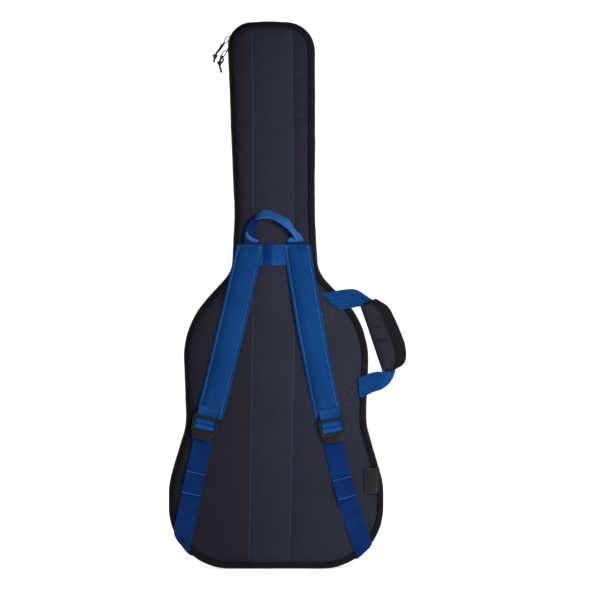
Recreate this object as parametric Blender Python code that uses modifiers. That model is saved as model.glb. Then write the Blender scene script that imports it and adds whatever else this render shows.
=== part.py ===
"""A padded gig bag for an electric guitar, standing on its base.

The shoulder straps are on the back, which faces -Y, and the zipped lid with its pocket faces +Y.
X runs across the bag and Z along the guitar's neck. The origin is the centre of the flat base.
"""

import math

import bmesh
import bpy
import numpy as np
from mathutils import Matrix, Vector

# Depths through the bag, along Y.
BACK_FACE = -0.038
FRONT_FACE = 0.038
ZIP_PLANE = 0.018
PANEL_THICK = 0.0025
FOAM_THICK = 0.010
LINING_THICK = 0.001
GAP = 0.0003

# The side wall, its zip and the cord sewn round each panel.
WALL_THICK = 0.012
WALL_BACK = -0.0337
WALL_ZIP_SIDE = 0.010
LID_WALL_ZIP_SIDE = 0.026
LID_WALL_FRONT = 0.0337
TAPE_INSET = (0.003, 0.005)
COIL_HALF = 0.00185
PIPING_RADIUS = 0.0022
PIPING_INSET = 0.0108
PANEL_INSET = 0.0133
FOAM_INSET = 0.0132
HINGE_LENGTH = 0.110
LID_AXIS = (-0.2105, ZIP_PLANE, 0.0)

# The bag's outline in X and Z with the radius of each corner, anticlockwise from the lid's hinge.
BAG_CORNERS = (
    (-0.209, 0.143, 0),
    (-0.208, 0, 0.120),
    (0.208, 0, 0.120),
    (0.209, 0.165, 0.150),
    (0.174, 0.281, 0.120),
    (0.182, 0.470, 0.165),
    (0.081, 0.575, 0.060),
    (0.0755, 0.690, 0.600),
    (0.076, 1.057, 0.057),
    (-0.012, 1.062, 0.300),
    (-0.096, 1.057, 0.047),
    (-0.081, 0.690, 0.600),
    (-0.086, 0.577, 0.060),
    (-0.182, 0.470, 0.165),
    (-0.174, 0.281, 0.120),
    (-0.209, 0.165, 0.150),
)
POCKET_CORNERS = (
    (-0.172, 0.034, 0.095),
    (0.172, 0.034, 0.095),
    (0.172, 0.160, 0.120),
    (0.144, 0.281, 0.120),
    (0.150, 0.400, 0.022),
    (-0.150, 0.400, 0.022),
    (-0.144, 0.281, 0.120),
    (-0.172, 0.160, 0.120),
)
ARC_STEP = math.radians(13)

# Webbing and shoulder straps.
STRAP_FACE = -0.039
WEBBING_WIDTH = 0.038
WEBBING_THICK = 0.0017
PAD_WIDTH = 0.052
PAD_THICK = 0.009
TAB_THICK = 0.004
PAD_HINGE_Z = 0.586
PAD_HINGE_Y = STRAP_FACE - TAB_THICK
YOKE_CORNERS = ((-0.0295, 0.588), (0.0180, 0.588), (0.0125, 0.627), (-0.0215, 0.627))

# Each strap's pad runs through three points in X and Z, and so does its lower webbing.
STRAPS = {
    "left": {
        "pad": ((-0.049, 0.629), (-0.086, 0.470), (-0.1265, 0.304)),
        "webbing": ((-0.1420, 0.2410), (-0.1660, 0.1510), (-0.1810, 0.062)),
        "anchor": ((-0.1816, 0.0580), (-0.1832, 0.0500), (-0.1862, 0.0418)),
    },
    "right": {
        "pad": ((0.040, 0.629), (0.067, 0.466), (0.100, 0.300)),
        "webbing": ((0.1150, 0.2370), (0.1370, 0.1460), (0.1620, 0.056)),
        "anchor": ((0.1630, 0.0528), (0.1675, 0.0400), (0.1735, 0.0275)),
    },
}

# Ladder-lock buckle, measured down the strap from the bar that its strap holds.
BUCKLE_WIDTH = 0.050
BUCKLE_THICK = 0.004
BUCKLE_ARM = 0.0055
BUCKLE_BAR = 0.004
BUCKLE_BAR_Y = -0.044
BUCKLE_BARS = (0.0, 0.016, 0.030)
BUCKLE_TAB = 0.049
LOOP_INNER = 0.0032
LOOP_OUTER = 0.0048
LOOP_LEGS = 0.0066
BAR_DROP = 0.0072
TURN_SPAN = (0.012, 0.052)

# The side handle, folded out flat beyond the edge.
HANDLE_UPPER = ((0.1140, 0.5190), (0.1520, 0.5380), (0.1868, 0.5215))
HANDLE_LOWER = ((0.1650, 0.3540), (0.1980, 0.3530), (0.2225, 0.3742))
HANDLE_AXIS = ((0.098, 0.531), (0.149, 0.354))
GRIP_ENDS = ((0.1888, 0.5134), (0.2239, 0.3870))
GRIP_WIDTH = 0.048
GRIP_THICK = 0.018
GRIP_Y = -0.0400

# The hanging loop is half an ellipse of webbing.
HANG_CENTRE = (-0.0045, 0.6325)
HANG_OUTER = (0.0575, 0.0625)
HANG_INNER = (0.0290, 0.0460)
HANG_THICK = 0.003
HANG_AXIS_Y = -0.0435

# Zip sliders on the bag's wall, and the wire pull on each.
SLIDER_SIZE = (0.011, 0.010, 0.0050)
SLIDER_INSET = 0.0020
PULL_WIRE = 0.0009
PULL_WIDTH = 0.0080
CORD_RADIUS = 0.0011
HEAD_ARC_CENTRE = Vector((-0.0472, 1.0128))
HEAD_ARC_RADIUS = 0.047
SLIDERS = {
    "upper": {
        "place": math.radians(150.0),
        "pull": ((-0.0918, 1.0380), (-0.1015, 1.0270)),
        "cord": ((-0.1020, 1.0248), (-0.1160, 1.0075), (-0.1210, 0.9870)),
    },
    "lower": {
        "place": math.radians(182.3),
        "pull": ((-0.0985, 1.0100), (-0.1070, 0.9995)),
        "cord": ((-0.1074, 0.9972), (-0.1100, 0.9800), (-0.1085, 0.9620)),
    },
}

# The accessory pocket on the lid.
POCKET_DEPTH = 0.012
POCKET_SKIN = 0.002
POCKET_WALL = 0.003
POCKET_MOUTH = (-0.120, 0.120, 0.352, 0.358)
POCKET_TAPE = 0.0075

LABEL = (0.1745, 0.1990, 0.1470, 0.1970)
NECK_REST = (0.060, 0.690, 0.730)
END_PAD = (0.075, 0.0125, 0.0200)

CHARCOAL = ("charcoal_nylon", (0.022, 0.024, 0.040), 0.82, 0.0)
BLACK = ("black_binding", (0.008, 0.007, 0.010), 0.75, 0.0)
BLUE = ("blue_webbing", (0.005, 0.050, 0.180), 0.60, 0.0)
FOAM = ("foam", (0.020, 0.020, 0.022), 0.95, 0.0)
LINING = ("lining", (0.018, 0.018, 0.024), 0.70, 0.0)
PLASTIC = ("black_acetal", (0.012, 0.012, 0.013), 0.40, 0.0)
METAL = ("black_metal", (0.015, 0.015, 0.017), 0.35, 0.8)


def clear_scene():
    for obj in list(bpy.data.objects):
        bpy.data.objects.remove(obj, do_unlink=True)


def material_of(look):
    name, colour, roughness, metallic = look
    material = bpy.data.materials.get(name) or bpy.data.materials.new(name)
    material.use_nodes = True
    shader = material.node_tree.nodes["Principled BSDF"]
    shader.inputs["Base Color"].default_value = (*colour, 1)
    shader.inputs["Roughness"].default_value = roughness
    shader.inputs["Metallic"].default_value = metallic
    return material


def place(name, data, look, pivot=None):
    """Link a new object, and hang it on its joint's empty without moving it."""
    data.materials.append(material_of(look))
    obj = bpy.data.objects.new(name, data)
    BAG.objects.link(obj)
    if pivot:
        obj.parent = pivot
        obj.matrix_parent_inverse = Matrix.Translation(-pivot.location)
    return obj


def pivot_at(name, point, parent=None):
    empty = bpy.data.objects.new(name, None)
    empty.empty_display_size = 0.03
    BAG.objects.link(empty)
    empty.location = point
    if parent:
        empty.parent = parent
        empty.matrix_parent_inverse = Matrix.Translation(-parent.location)
    return empty


def corner_arc(corners, index, inset):
    """One rounded corner, moved inwards: it keeps its centre, and its radius shrinks or grows."""
    x, z, radius = corners[index]
    following = corners[(index + 1) % len(corners)]
    here = Vector((x, z))
    before = (here - Vector(corners[index - 1][:2])).normalized()
    after = (Vector(following[:2]) - here).normalized()
    turn = math.atan2(before.x * after.y - before.y * after.x, before.dot(after))
    side = math.copysign(1, turn)
    inward = Vector((-before.y, before.x))
    centre = here - before * radius * math.tan(abs(turn) / 2) + inward * radius * side
    spoke = inward * -side * (radius - inset * side)
    steps = max(1, round(abs(turn) / ARC_STEP)) if radius else 0
    for step in range(steps + 1):
        angle = turn * step / steps if steps else 0
        yield centre + Matrix.Rotation(angle, 2) @ spoke


def outline(corners, inset=0.0):
    return np.array([point for index in range(len(corners)) for point in corner_arc(corners, index, inset)])


def stretch_of(points, start, end):
    """The part of a closed outline between two distances along it, which may start before its first point."""
    twice = np.vstack([points, points, points[:1]])
    along = np.concatenate([[0], np.cumsum(np.linalg.norm(np.diff(twice, axis=0), axis=1))])
    perimeter = along[len(points)]
    along -= perimeter
    end = perimeter + end if end < start else end
    inside = along[(along > start + 1e-4) & (along < end - 1e-4)]
    stops = np.concatenate([[start], inside, [end]])
    return np.column_stack([np.interp(stops, along, twice[:, axis]) for axis in (0, 1)])


def ring(corners, outer, inner):
    return [outline(corners, outer), outline(corners, inner)]


def strip_along_outline(start, end, outer, inner):
    """A loop that follows the bag's outline, from the outer inset to the inner one and back."""
    there = stretch_of(outline(BAG_CORNERS, outer), start, end)
    back = stretch_of(outline(BAG_CORNERS, inner), start, end)
    return np.vstack([there, back[::-1]])


def curve_through(start, middle, end, count=7, portion=(0.0, 1.0)):
    """A parabola that passes its middle point half way."""
    t = np.linspace(*portion, count)[:, None]
    start, middle, end = (np.array(point) for point in (start, middle, end))
    return start * (1 - t) * (1 - 2 * t) + middle * 4 * t * (1 - t) + end * t * (2 * t - 1)


def strip(path, width):
    """The loop round a band of constant width along a path."""
    along = np.gradient(path, axis=0)
    along /= np.linalg.norm(along, axis=1)[:, None]
    across = np.column_stack([-along[:, 1], along[:, 0]]) * width / 2
    return np.vstack([path + across, (path - across)[::-1]])


def rectangle(low_x, high_x, low_z, high_z):
    return np.array([(low_x, low_z), (high_x, low_z), (high_x, high_z), (low_x, high_z)])


def half_ellipse(centre, size, count=14):
    angle = np.linspace(0, math.pi, count)
    return np.column_stack([centre[0] + size[0] * np.cos(angle), centre[1] + size[1] * np.sin(angle)])


def slab(name, loops, thickness):
    """A filled outline made solid: a flat curve, made a mesh with its caps sewn to its sides."""
    data = bpy.data.curves.new(name, "CURVE")
    data.dimensions = "2D"
    data.fill_mode = "BOTH"
    data.extrude = thickness / 2
    for loop in loops:
        spline = data.splines.new("POLY")
        spline.points.add(len(loop) - 1)
        spline.use_cyclic_u = True
        for point, (across, up) in zip(spline.points, loop):
            point.co = (across, up, 0, 1)
    guide = bpy.data.objects.new(name, data)
    BAG.objects.link(guide)
    graph = bpy.context.evaluated_depsgraph_get()
    solid = bpy.data.meshes.new_from_object(guide.evaluated_get(graph))
    bpy.data.objects.remove(guide)
    shape = bmesh.new()
    shape.from_mesh(solid)
    bmesh.ops.remove_doubles(shape, verts=shape.verts, dist=0.000001)
    bmesh.ops.recalc_face_normals(shape, faces=shape.faces)
    shape.to_mesh(solid)
    shape.free()
    solid.name = name
    return solid


def flat_piece(name, loops, low_y, high_y, look, pivot=None):
    """A filled outline in X and Z, given its thickness along Y."""
    piece = place(name, slab(name, loops, high_y - low_y), look, pivot)
    piece.rotation_euler = (math.pi / 2, 0, 0)
    piece.location = (0, (low_y + high_y) / 2, 0)
    return piece


def soften(piece, width, segments=2):
    """Round the sharp edges of a flat piece."""
    bevel = piece.modifiers.new("Bevel", "BEVEL")
    bevel.width = width
    bevel.segments = segments
    bevel.limit_method = "ANGLE"
    bevel.angle_limit = math.radians(60)
    return piece


def tube(name, points, radius, look, closed=False, pivot=None):
    data = bpy.data.curves.new(name, "CURVE")
    data.dimensions = "3D"
    data.bevel_depth = radius
    data.bevel_resolution = 2 if not closed else 1
    data.use_fill_caps = not closed
    spline = data.splines.new("POLY")
    spline.points.add(len(points) - 1)
    spline.use_cyclic_u = closed
    for point, co in zip(spline.points, points):
        point.co = (*co, 1)
    return place(name, data, look, pivot)


def box(name, size, centre, look, pivot=None, turn=0.0, bevel=0.0008):
    bpy.ops.mesh.primitive_cube_add(size=1)
    made = bpy.context.object
    made.data.transform(Matrix.Diagonal((*size, 1)))
    data = made.data
    data.name = name
    bpy.data.objects.remove(made)
    piece = place(name, data, look, pivot)
    piece.location = centre
    piece.rotation_euler = (0, turn, 0)
    edge = piece.modifiers.new("Bevel", "BEVEL")
    edge.width = bevel
    edge.segments = 1
    return piece


def at_depth(points, y):
    return [(x, y, z) for x, z in points]


def build_back():
    """The back half: the quilted back panel and the deep wall that the lid closes."""
    skin = BACK_FACE + PANEL_THICK
    foam = skin + GAP + FOAM_THICK
    flat_piece("back_panel", [outline(BAG_CORNERS, PANEL_INSET)], BACK_FACE, skin, CHARCOAL)
    flat_piece("back_foam", [outline(BAG_CORNERS, FOAM_INSET)], skin + GAP, foam, FOAM)
    flat_piece("back_lining", [outline(BAG_CORNERS, FOAM_INSET)], foam + GAP, foam + GAP + LINING_THICK, LINING)
    wall = flat_piece("back_gusset", ring(BAG_CORNERS, 0, WALL_THICK), WALL_BACK, WALL_ZIP_SIDE, BLACK)
    soften(wall, 0.004)
    piping = at_depth(outline(BAG_CORNERS, PIPING_INSET), BACK_FACE + PIPING_RADIUS - 0.0004)
    tube("back_piping", piping, PIPING_RADIUS, BLACK, closed=True)
    tape_end = ZIP_PLANE - COIL_HALF - 2 * GAP
    flat_piece("zip_tape_back", ring(BAG_CORNERS, *TAPE_INSET), WALL_ZIP_SIDE + GAP, tape_end, BLACK)
    coil = strip_along_outline(HINGE_LENGTH / 2, -HINGE_LENGTH / 2, *TAPE_INSET)
    flat_piece("zip_coil_back", [coil], tape_end + GAP, ZIP_PLANE - GAP / 2, PLASTIC)
    unzipped = strip_along_outline(0.001 - HINGE_LENGTH / 2, HINGE_LENGTH / 2 - 0.001, *TAPE_INSET)
    flat_piece("hinge_strip", [unzipped], tape_end + GAP, ZIP_PLANE - GAP / 2, BLACK)
    flat_piece("label", [rectangle(*LABEL)], STRAP_FACE - 0.0007, STRAP_FACE, BLACK)
    build_inside()


def build_inside():
    """A notched foam block under the guitar's neck, and a foam strip under its end."""
    half, low, high = NECK_REST
    floor = BACK_FACE + PANEL_THICK + FOAM_THICK + LINING_THICK + 3 * GAP
    notch, slope, crest = 0.024, 0.036, floor + 0.020
    seat = floor + 0.006
    outer = [(-half, floor), (half - 0.002, floor), (half - 0.002, crest), (slope, crest)]
    outer += [(notch, seat), (-notch, seat), (-slope, crest), (-half, crest)]
    place("neck_rest", slab("neck_rest", [outer], high - low), FOAM).location = (0, 0, (low + high) / 2)
    half, low, high = END_PAD
    flat_piece("end_pad", [rectangle(-half, half, low, high)], floor, WALL_ZIP_SIDE - 0.002, FOAM)


def build_lid(pivot):
    """The lid: the front panel and a shallow wall, zipped to the back half's wall."""
    skin = FRONT_FACE - PANEL_THICK
    foam = skin - GAP - FOAM_THICK
    flat_piece("front_panel", [outline(BAG_CORNERS, PANEL_INSET)], skin, FRONT_FACE, CHARCOAL, pivot)
    flat_piece("front_foam", [outline(BAG_CORNERS, FOAM_INSET)], foam, skin - GAP, FOAM, pivot)
    lining = foam - GAP - LINING_THICK
    flat_piece("front_lining", [outline(BAG_CORNERS, FOAM_INSET)], lining, foam - GAP, LINING, pivot)
    wall = ring(BAG_CORNERS, 0, WALL_THICK)
    soften(flat_piece("front_gusset", wall, LID_WALL_ZIP_SIDE, LID_WALL_FRONT, BLACK, pivot), 0.003)
    piping = at_depth(outline(BAG_CORNERS, PIPING_INSET), FRONT_FACE - PIPING_RADIUS + 0.0004)
    tube("front_piping", piping, PIPING_RADIUS, BLACK, closed=True, pivot=pivot)
    tape_end = ZIP_PLANE + COIL_HALF + 2 * GAP
    tape = ring(BAG_CORNERS, *TAPE_INSET)
    flat_piece("zip_tape_front", tape, tape_end, LID_WALL_ZIP_SIDE - GAP, BLACK, pivot)
    coil = strip_along_outline(HINGE_LENGTH / 2, -HINGE_LENGTH / 2, *TAPE_INSET)
    flat_piece("zip_coil_front", [coil], ZIP_PLANE + GAP / 2, tape_end - GAP, PLASTIC, pivot)
    build_pocket(pivot)


def build_pocket(lid):
    """A flat pocket on the lid, whose zip mouth is a slit in its outer skin."""
    outer = FRONT_FACE + POCKET_DEPTH
    wall_end = outer - POCKET_SKIN
    left, right, low, high = POCKET_MOUTH
    skin = [outline(POCKET_CORNERS), rectangle(*POCKET_MOUTH)]
    flat_piece("pocket_panel", skin, wall_end, outer, CHARCOAL, lid)
    wall = ring(POCKET_CORNERS, 0, POCKET_WALL)
    flat_piece("pocket_gusset", wall, FRONT_FACE + GAP, wall_end - GAP, BLACK, lid)
    tapes = {"upper": (high, high + POCKET_TAPE), "lower": (low - POCKET_TAPE, low)}
    for side, (start, end) in tapes.items():
        tape = rectangle(left, right, start, end)
        flat_piece(f"pocket_tape_{side}", [tape], outer + GAP, outer + 0.0012, BLACK, lid)
    middle = (low + high) / 2
    run = pivot_at("pocket_slider_path", (left + 0.010, outer + 0.004, middle), lid)
    box("pocket_slider", (0.011, 0.004, 0.010), (left + 0.010, outer + 0.0038, middle), METAL, run)
    hang = pivot_at("pocket_pull_axis", (left + 0.010, outer + 0.0068, middle - 0.002), run)
    box("pocket_pull", (0.007, 0.0016, 0.026), (left + 0.010, outer + 0.0070, middle - 0.015), METAL, hang, bevel=0.0005)


def direction(start, end):
    return (Vector(end) - Vector(start)).normalized()


def along_strap(origin, down, distance, side=0.0):
    """A point down the strap from its origin, and beside its centre line."""
    across = Vector((-down.y, down.x))
    return Vector(origin) + down * distance + across * side


def buckle_loops(origin, down):
    """Outline of a ladder-lock with a window on each side of its middle bar."""
    half = BUCKLE_WIDTH / 2
    top = -BUCKLE_BAR / 2
    low = BUCKLE_BARS[2] + BUCKLE_BAR / 2
    corners = [(top, -half), (low, -half), (BUCKLE_TAB - 0.004, -0.012), (BUCKLE_TAB, -0.007)]
    corners += [(distance, -side) for distance, side in reversed(corners)]
    loops = [np.array([along_strap(origin, down, *corner) for corner in corners])]
    inside = half - BUCKLE_ARM
    for upper, lower in zip(BUCKLE_BARS, BUCKLE_BARS[1:]):
        start, end = upper + BUCKLE_BAR / 2, lower - BUCKLE_BAR / 2
        window = [(start, -inside), (end, -inside), (end, inside), (start, inside)]
        loops.append(np.array([along_strap(origin, down, *corner) for corner in window]))
    return loops


def build_end_loop(name, bar, down, pivot):
    """A strap folded round the buckle's bar: a U in section, as wide as the webbing."""
    angle = np.linspace(-math.pi / 2, math.pi / 2, 7)
    fold = np.column_stack([np.cos(angle), np.sin(angle)])
    outer = np.vstack([[-LOOP_LEGS, -LOOP_OUTER], fold * LOOP_OUTER, [-LOOP_LEGS, LOOP_OUTER]])
    inner = np.vstack([[-LOOP_LEGS, LOOP_INNER], fold[::-1] * LOOP_INNER, [-LOOP_LEGS, -LOOP_INNER]])
    piece = place(name, slab(name, [np.vstack([outer, inner])], WEBBING_WIDTH), BLUE, pivot)
    across = Vector((-down.y, 0, down.x))
    along = Vector((down.x, 0, down.y))
    piece.matrix_basis = Matrix((
        (along.x, across.cross(along).x, across.x, bar[0]),
        (along.y, across.cross(along).y, across.y, BUCKLE_BAR_Y),
        (along.z, across.cross(along).z, across.z, bar[1]),
        (0, 0, 0, 1),
    ))
    return piece


def build_strap(side, strap):
    """A shoulder strap: sewn tab, padded part, buckle, and webbing up from the bottom corner."""
    whole = curve_through(*strap["pad"], count=161)
    cut = int(np.argmin(abs(whole[:, 1] - PAD_HINGE_Z))) / 160
    tab = curve_through(*strap["pad"], count=3, portion=(0.0, cut - 0.004))
    pad = curve_through(*strap["pad"], count=8, portion=(cut + 0.002, 1.0))
    flat_piece(f"{side}_strap_tab", [strip(tab, PAD_WIDTH)], STRAP_FACE - TAB_THICK, STRAP_FACE, BLUE)
    hinge = pivot_at(f"{side}_pad_axis", (whole[int(cut * 160)][0], PAD_HINGE_Y, PAD_HINGE_Z))
    padding = flat_piece(
        f"{side}_pad", [strip(pad, PAD_WIDTH)], STRAP_FACE - PAD_THICK, STRAP_FACE, BLUE, hinge
    )
    soften(padding, 0.002, 1)

    down = direction(strap["pad"][1], strap["pad"][2])
    bar = along_strap(strap["pad"][2], down, BAR_DROP)
    build_end_loop(f"{side}_end_loop", bar, down, hinge)
    tilt = pivot_at(f"{side}_buckle_axis", (bar.x, BUCKLE_BAR_Y, bar.y), hinge)
    flat_piece(
        f"{side}_buckle",
        buckle_loops(bar, down),
        BUCKLE_BAR_Y - BUCKLE_THICK / 2,
        BUCKLE_BAR_Y + BUCKLE_THICK / 2,
        PLASTIC,
        tilt,
    )
    behind = BUCKLE_BAR_Y + BUCKLE_THICK / 2 + GAP
    turned = [along_strap(bar, down, distance) for distance in TURN_SPAN]
    flat_piece(
        f"{side}_webbing_turn",
        [strip(np.array(turned), WEBBING_WIDTH)],
        behind,
        behind + WEBBING_THICK,
        BLUE,
        tilt,
    )

    top, _, foot = strap["webbing"]
    swing = pivot_at(f"{side}_webbing_axis", (foot[0], STRAP_FACE - WEBBING_THICK / 2, foot[1]))
    lower = curve_through(*strap["webbing"], count=6)
    flat_piece(
        f"{side}_webbing", [strip(lower, WEBBING_WIDTH)], STRAP_FACE - WEBBING_THICK, STRAP_FACE, BLUE, swing
    )
    anchor = curve_through(*strap["anchor"], count=3)
    flat_piece(
        f"{side}_anchor", [strip(anchor, WEBBING_WIDTH)], STRAP_FACE - WEBBING_THICK, STRAP_FACE, BLUE
    )


def build_yoke():
    """The webbing that joins the straps across the back, and the hanging loop above it."""
    flat_piece("yoke_webbing", [YOKE_CORNERS], STRAP_FACE - 0.0025, STRAP_FACE, BLUE)
    low_y = STRAP_FACE - HANG_THICK
    pivot = pivot_at("hang_loop_axis", (HANG_CENTRE[0], HANG_AXIS_Y, HANG_CENTRE[1]))
    outer = half_ellipse(HANG_CENTRE, HANG_OUTER)
    inner = half_ellipse(HANG_CENTRE, HANG_INNER)
    flat_piece("hang_loop", [np.vstack([outer, inner[::-1]])], low_y, STRAP_FACE, BLUE, pivot)


def build_handle():
    """The padded side handle, whose two webbing ends are sewn in under the panel's edge."""
    (upper_x, upper_z), _ = HANDLE_AXIS
    pivot = pivot_at("handle_axis", (upper_x, STRAP_FACE - WEBBING_THICK / 2, upper_z))
    for name, route in (("upper", HANDLE_UPPER), ("lower", HANDLE_LOWER)):
        loop = strip(curve_through(*route, count=6), WEBBING_WIDTH * 0.72)
        flat_piece(f"handle_webbing_{name}", [loop], STRAP_FACE - WEBBING_THICK, STRAP_FACE, BLUE, pivot)
    grip = strip(np.array([Vector(GRIP_ENDS[0]), Vector(GRIP_ENDS[1])]), GRIP_WIDTH)
    low_y = GRIP_Y - GRIP_THICK / 2
    soften(flat_piece("handle_grip", [grip], low_y, low_y + GRIP_THICK, CHARCOAL, pivot), 0.005)


def build_slider(name, slider):
    """A zip slider on the wall, its wire pull, and the knotted cord on the pull."""
    spoke = Vector((math.cos(slider["place"]), math.sin(slider["place"])))
    seat = HEAD_ARC_CENTRE + spoke * (HEAD_ARC_RADIUS - SLIDER_INSET + SLIDER_SIZE[2] / 2)
    path = pivot_at(f"zip_{name}_path", (HEAD_ARC_CENTRE.x, ZIP_PLANE, HEAD_ARC_CENTRE.y))
    turn = math.pi / 2 - slider["place"]
    box(f"zip_slider_{name}", SLIDER_SIZE, (seat.x, ZIP_PLANE, seat.y), METAL, path, turn)
    start, end = (Vector(point) for point in slider["pull"])
    swing = pivot_at(f"zip_pull_{name}_axis", (start.x, ZIP_PLANE, start.y), path)
    half = PULL_WIDTH / 2
    along = end - start
    shape = ((0.0, -half * 0.6), (0.0, half * 0.6), (0.5, half), (0.85, half * 0.85), (1.0, half * 0.4))
    shape += tuple((t, -y) for t, y in reversed(shape[2:]))
    wire = [(start.x + along.x * t, ZIP_PLANE + y, start.y + along.y * t) for t, y in shape]
    tube(f"zip_pull_{name}", wire, PULL_WIRE, METAL, closed=True, pivot=swing)
    cord = curve_through(*slider["cord"], count=13)
    tube(f"pull_cord_{name}", at_depth(cord, ZIP_PLANE), CORD_RADIUS, BLACK, pivot=swing)


clear_scene()
BAG = bpy.data.collections.new("padded_gig_bag")
bpy.context.scene.collection.children.link(BAG)

build_back()
build_lid(pivot_at("lid_axis", LID_AXIS))
for strap_side, strap_plan in STRAPS.items():
    build_strap(strap_side, strap_plan)
build_yoke()
build_handle()
for slider_name, slider_plan in SLIDERS.items():
    build_slider(slider_name, slider_plan)
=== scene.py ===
# A padded gig bag for an electric guitar, dressed in cloth, webbing, zips and buckles.
# The bag stands on its base with its shoulder straps facing -Y; the lid and pocket face +Y.
import math

import bmesh
import bpy
import numpy as np
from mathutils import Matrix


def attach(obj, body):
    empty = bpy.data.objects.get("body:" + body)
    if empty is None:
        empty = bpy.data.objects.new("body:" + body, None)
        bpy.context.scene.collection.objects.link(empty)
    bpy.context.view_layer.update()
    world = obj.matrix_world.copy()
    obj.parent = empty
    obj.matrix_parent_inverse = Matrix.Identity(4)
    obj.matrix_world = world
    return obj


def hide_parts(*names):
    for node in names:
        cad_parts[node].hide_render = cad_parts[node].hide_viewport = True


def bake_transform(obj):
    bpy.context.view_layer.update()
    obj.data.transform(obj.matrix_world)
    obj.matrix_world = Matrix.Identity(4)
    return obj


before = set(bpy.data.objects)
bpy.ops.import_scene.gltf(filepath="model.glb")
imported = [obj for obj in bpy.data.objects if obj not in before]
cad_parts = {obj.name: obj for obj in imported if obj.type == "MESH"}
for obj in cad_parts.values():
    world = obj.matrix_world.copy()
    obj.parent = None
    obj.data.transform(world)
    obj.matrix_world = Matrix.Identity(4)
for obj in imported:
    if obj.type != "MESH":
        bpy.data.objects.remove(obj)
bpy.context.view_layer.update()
scene = bpy.context.scene


# ---- shader helpers

class Wire:
    # one output socket; the arithmetic operators add Math nodes behind it
    def __init__(self, tree, socket):
        self.tree, self.socket = tree, socket

    def math(self, operation, *others, swap=False):
        node = self.tree.nodes.new("ShaderNodeMath")
        node.operation = operation
        terms = [self, *others]
        for slot, term in zip(node.inputs, reversed(terms) if swap else terms):
            feed(self.tree, slot, term)
        return Wire(self.tree, node.outputs[0])

    def __add__(self, other):
        return self.math("ADD", other)

    __radd__ = __add__

    def __sub__(self, other):
        return self.math("SUBTRACT", other)

    def __rsub__(self, other):
        return self.math("SUBTRACT", other, swap=True)

    def __mul__(self, other):
        return self.math("MULTIPLY", other)

    __rmul__ = __mul__

    def sine(self):
        return self.math("SINE")

    def size(self):
        return self.math("ABSOLUTE")

    def over(self, edge):
        return self.math("GREATER_THAN", edge)

    def least(self, other):
        return self.math("MINIMUM", other)

    def most(self, other):
        return self.math("MAXIMUM", other)

    def ridges(self, pitch):
        # one rounded ridge in every pitch: the size of a sine
        return (self * (math.pi / pitch)).sine().size()


def feed(tree, slot, value):
    # a wire is linked to the slot, and anything else becomes its value
    if isinstance(value, Wire):
        tree.links.new(value.socket, slot)
    else:
        slot.default_value = value


class Finish:
    # a material whose Principled shader is ready, and one method that adds any node
    def __init__(self, name, colour, roughness, **sockets):
        self.material = bpy.data.materials.new(name)
        self.material.use_nodes = True
        self.tree = self.material.node_tree
        self.shader = self.tree.nodes["Principled BSDF"]
        self.colour = colour
        self.put("Base Color", (*colour, 1))
        self.put("Roughness", roughness)
        for socket, value in sockets.items():
            self.put(socket.replace("_", " "), value)

    def put(self, name, value):
        feed(self.tree, self.shader.inputs[name], value)

    def node(self, kind, settings=None, inputs=None, output=0):
        made = self.tree.nodes.new("ShaderNode" + kind)
        for key, value in (settings or {}).items():
            setattr(made, key, value)
        for key, value in (inputs or {}).items():
            feed(self.tree, self.socket(made.inputs, key), value)
        return Wire(self.tree, self.socket(made.outputs, output))

    def socket(self, sockets, key):
        # by its number, or the one in use that has this name
        return sockets[key] if isinstance(key, int) else next(s for s in sockets if s.name == key and s.enabled)

    def place(self):
        # position on the piece in metres, as three wires
        where = self.node("TexCoord", output="Object")
        return [self.node("SeparateXYZ", inputs={0: where}, output=k) for k in range(3)]

    def along(self):
        # the piece's own map: metres along it and across it
        where = self.node("UVMap", {"uv_map": "cloth"})
        return [self.node("SeparateXYZ", inputs={0: where}, output=k) for k in range(2)]

    def noise(self, scale, detail=3, stretch=(1, 1, 1), onMap=False):
        source = self.node("UVMap", {"uv_map": "cloth"}) if onMap else self.node("TexCoord", output="Object")
        spread = self.node("Mapping", inputs={"Vector": source, "Scale": stretch})
        return self.node("TexNoise", inputs={"Vector": spread, "Scale": scale, "Detail": detail})

    def tint(self, colour, mask, base=None):
        # mixes another colour in where the mask is high
        return self.node("Mix", {"data_type": "RGBA", "clamp_factor": True},
                         {"Factor": mask, "A": base or (*self.colour, 1), "B": (*colour, 1)}, "Result")

    def relief(self, height, distance):
        self.put("Normal", self.node("Bump", inputs={"Height": height, "Distance": distance, "Strength": 1.0}))


def plainWeave(u, v, pitch):
    # threads cross over and under: the upper one rises as a half sine between its crossings
    a = (u * (math.pi / pitch)).sine()
    b = (v * (math.pi / pitch)).sine()
    over = (a * b).over(0.0)
    return over * a.size() + (1 - over) * b.size()


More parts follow.
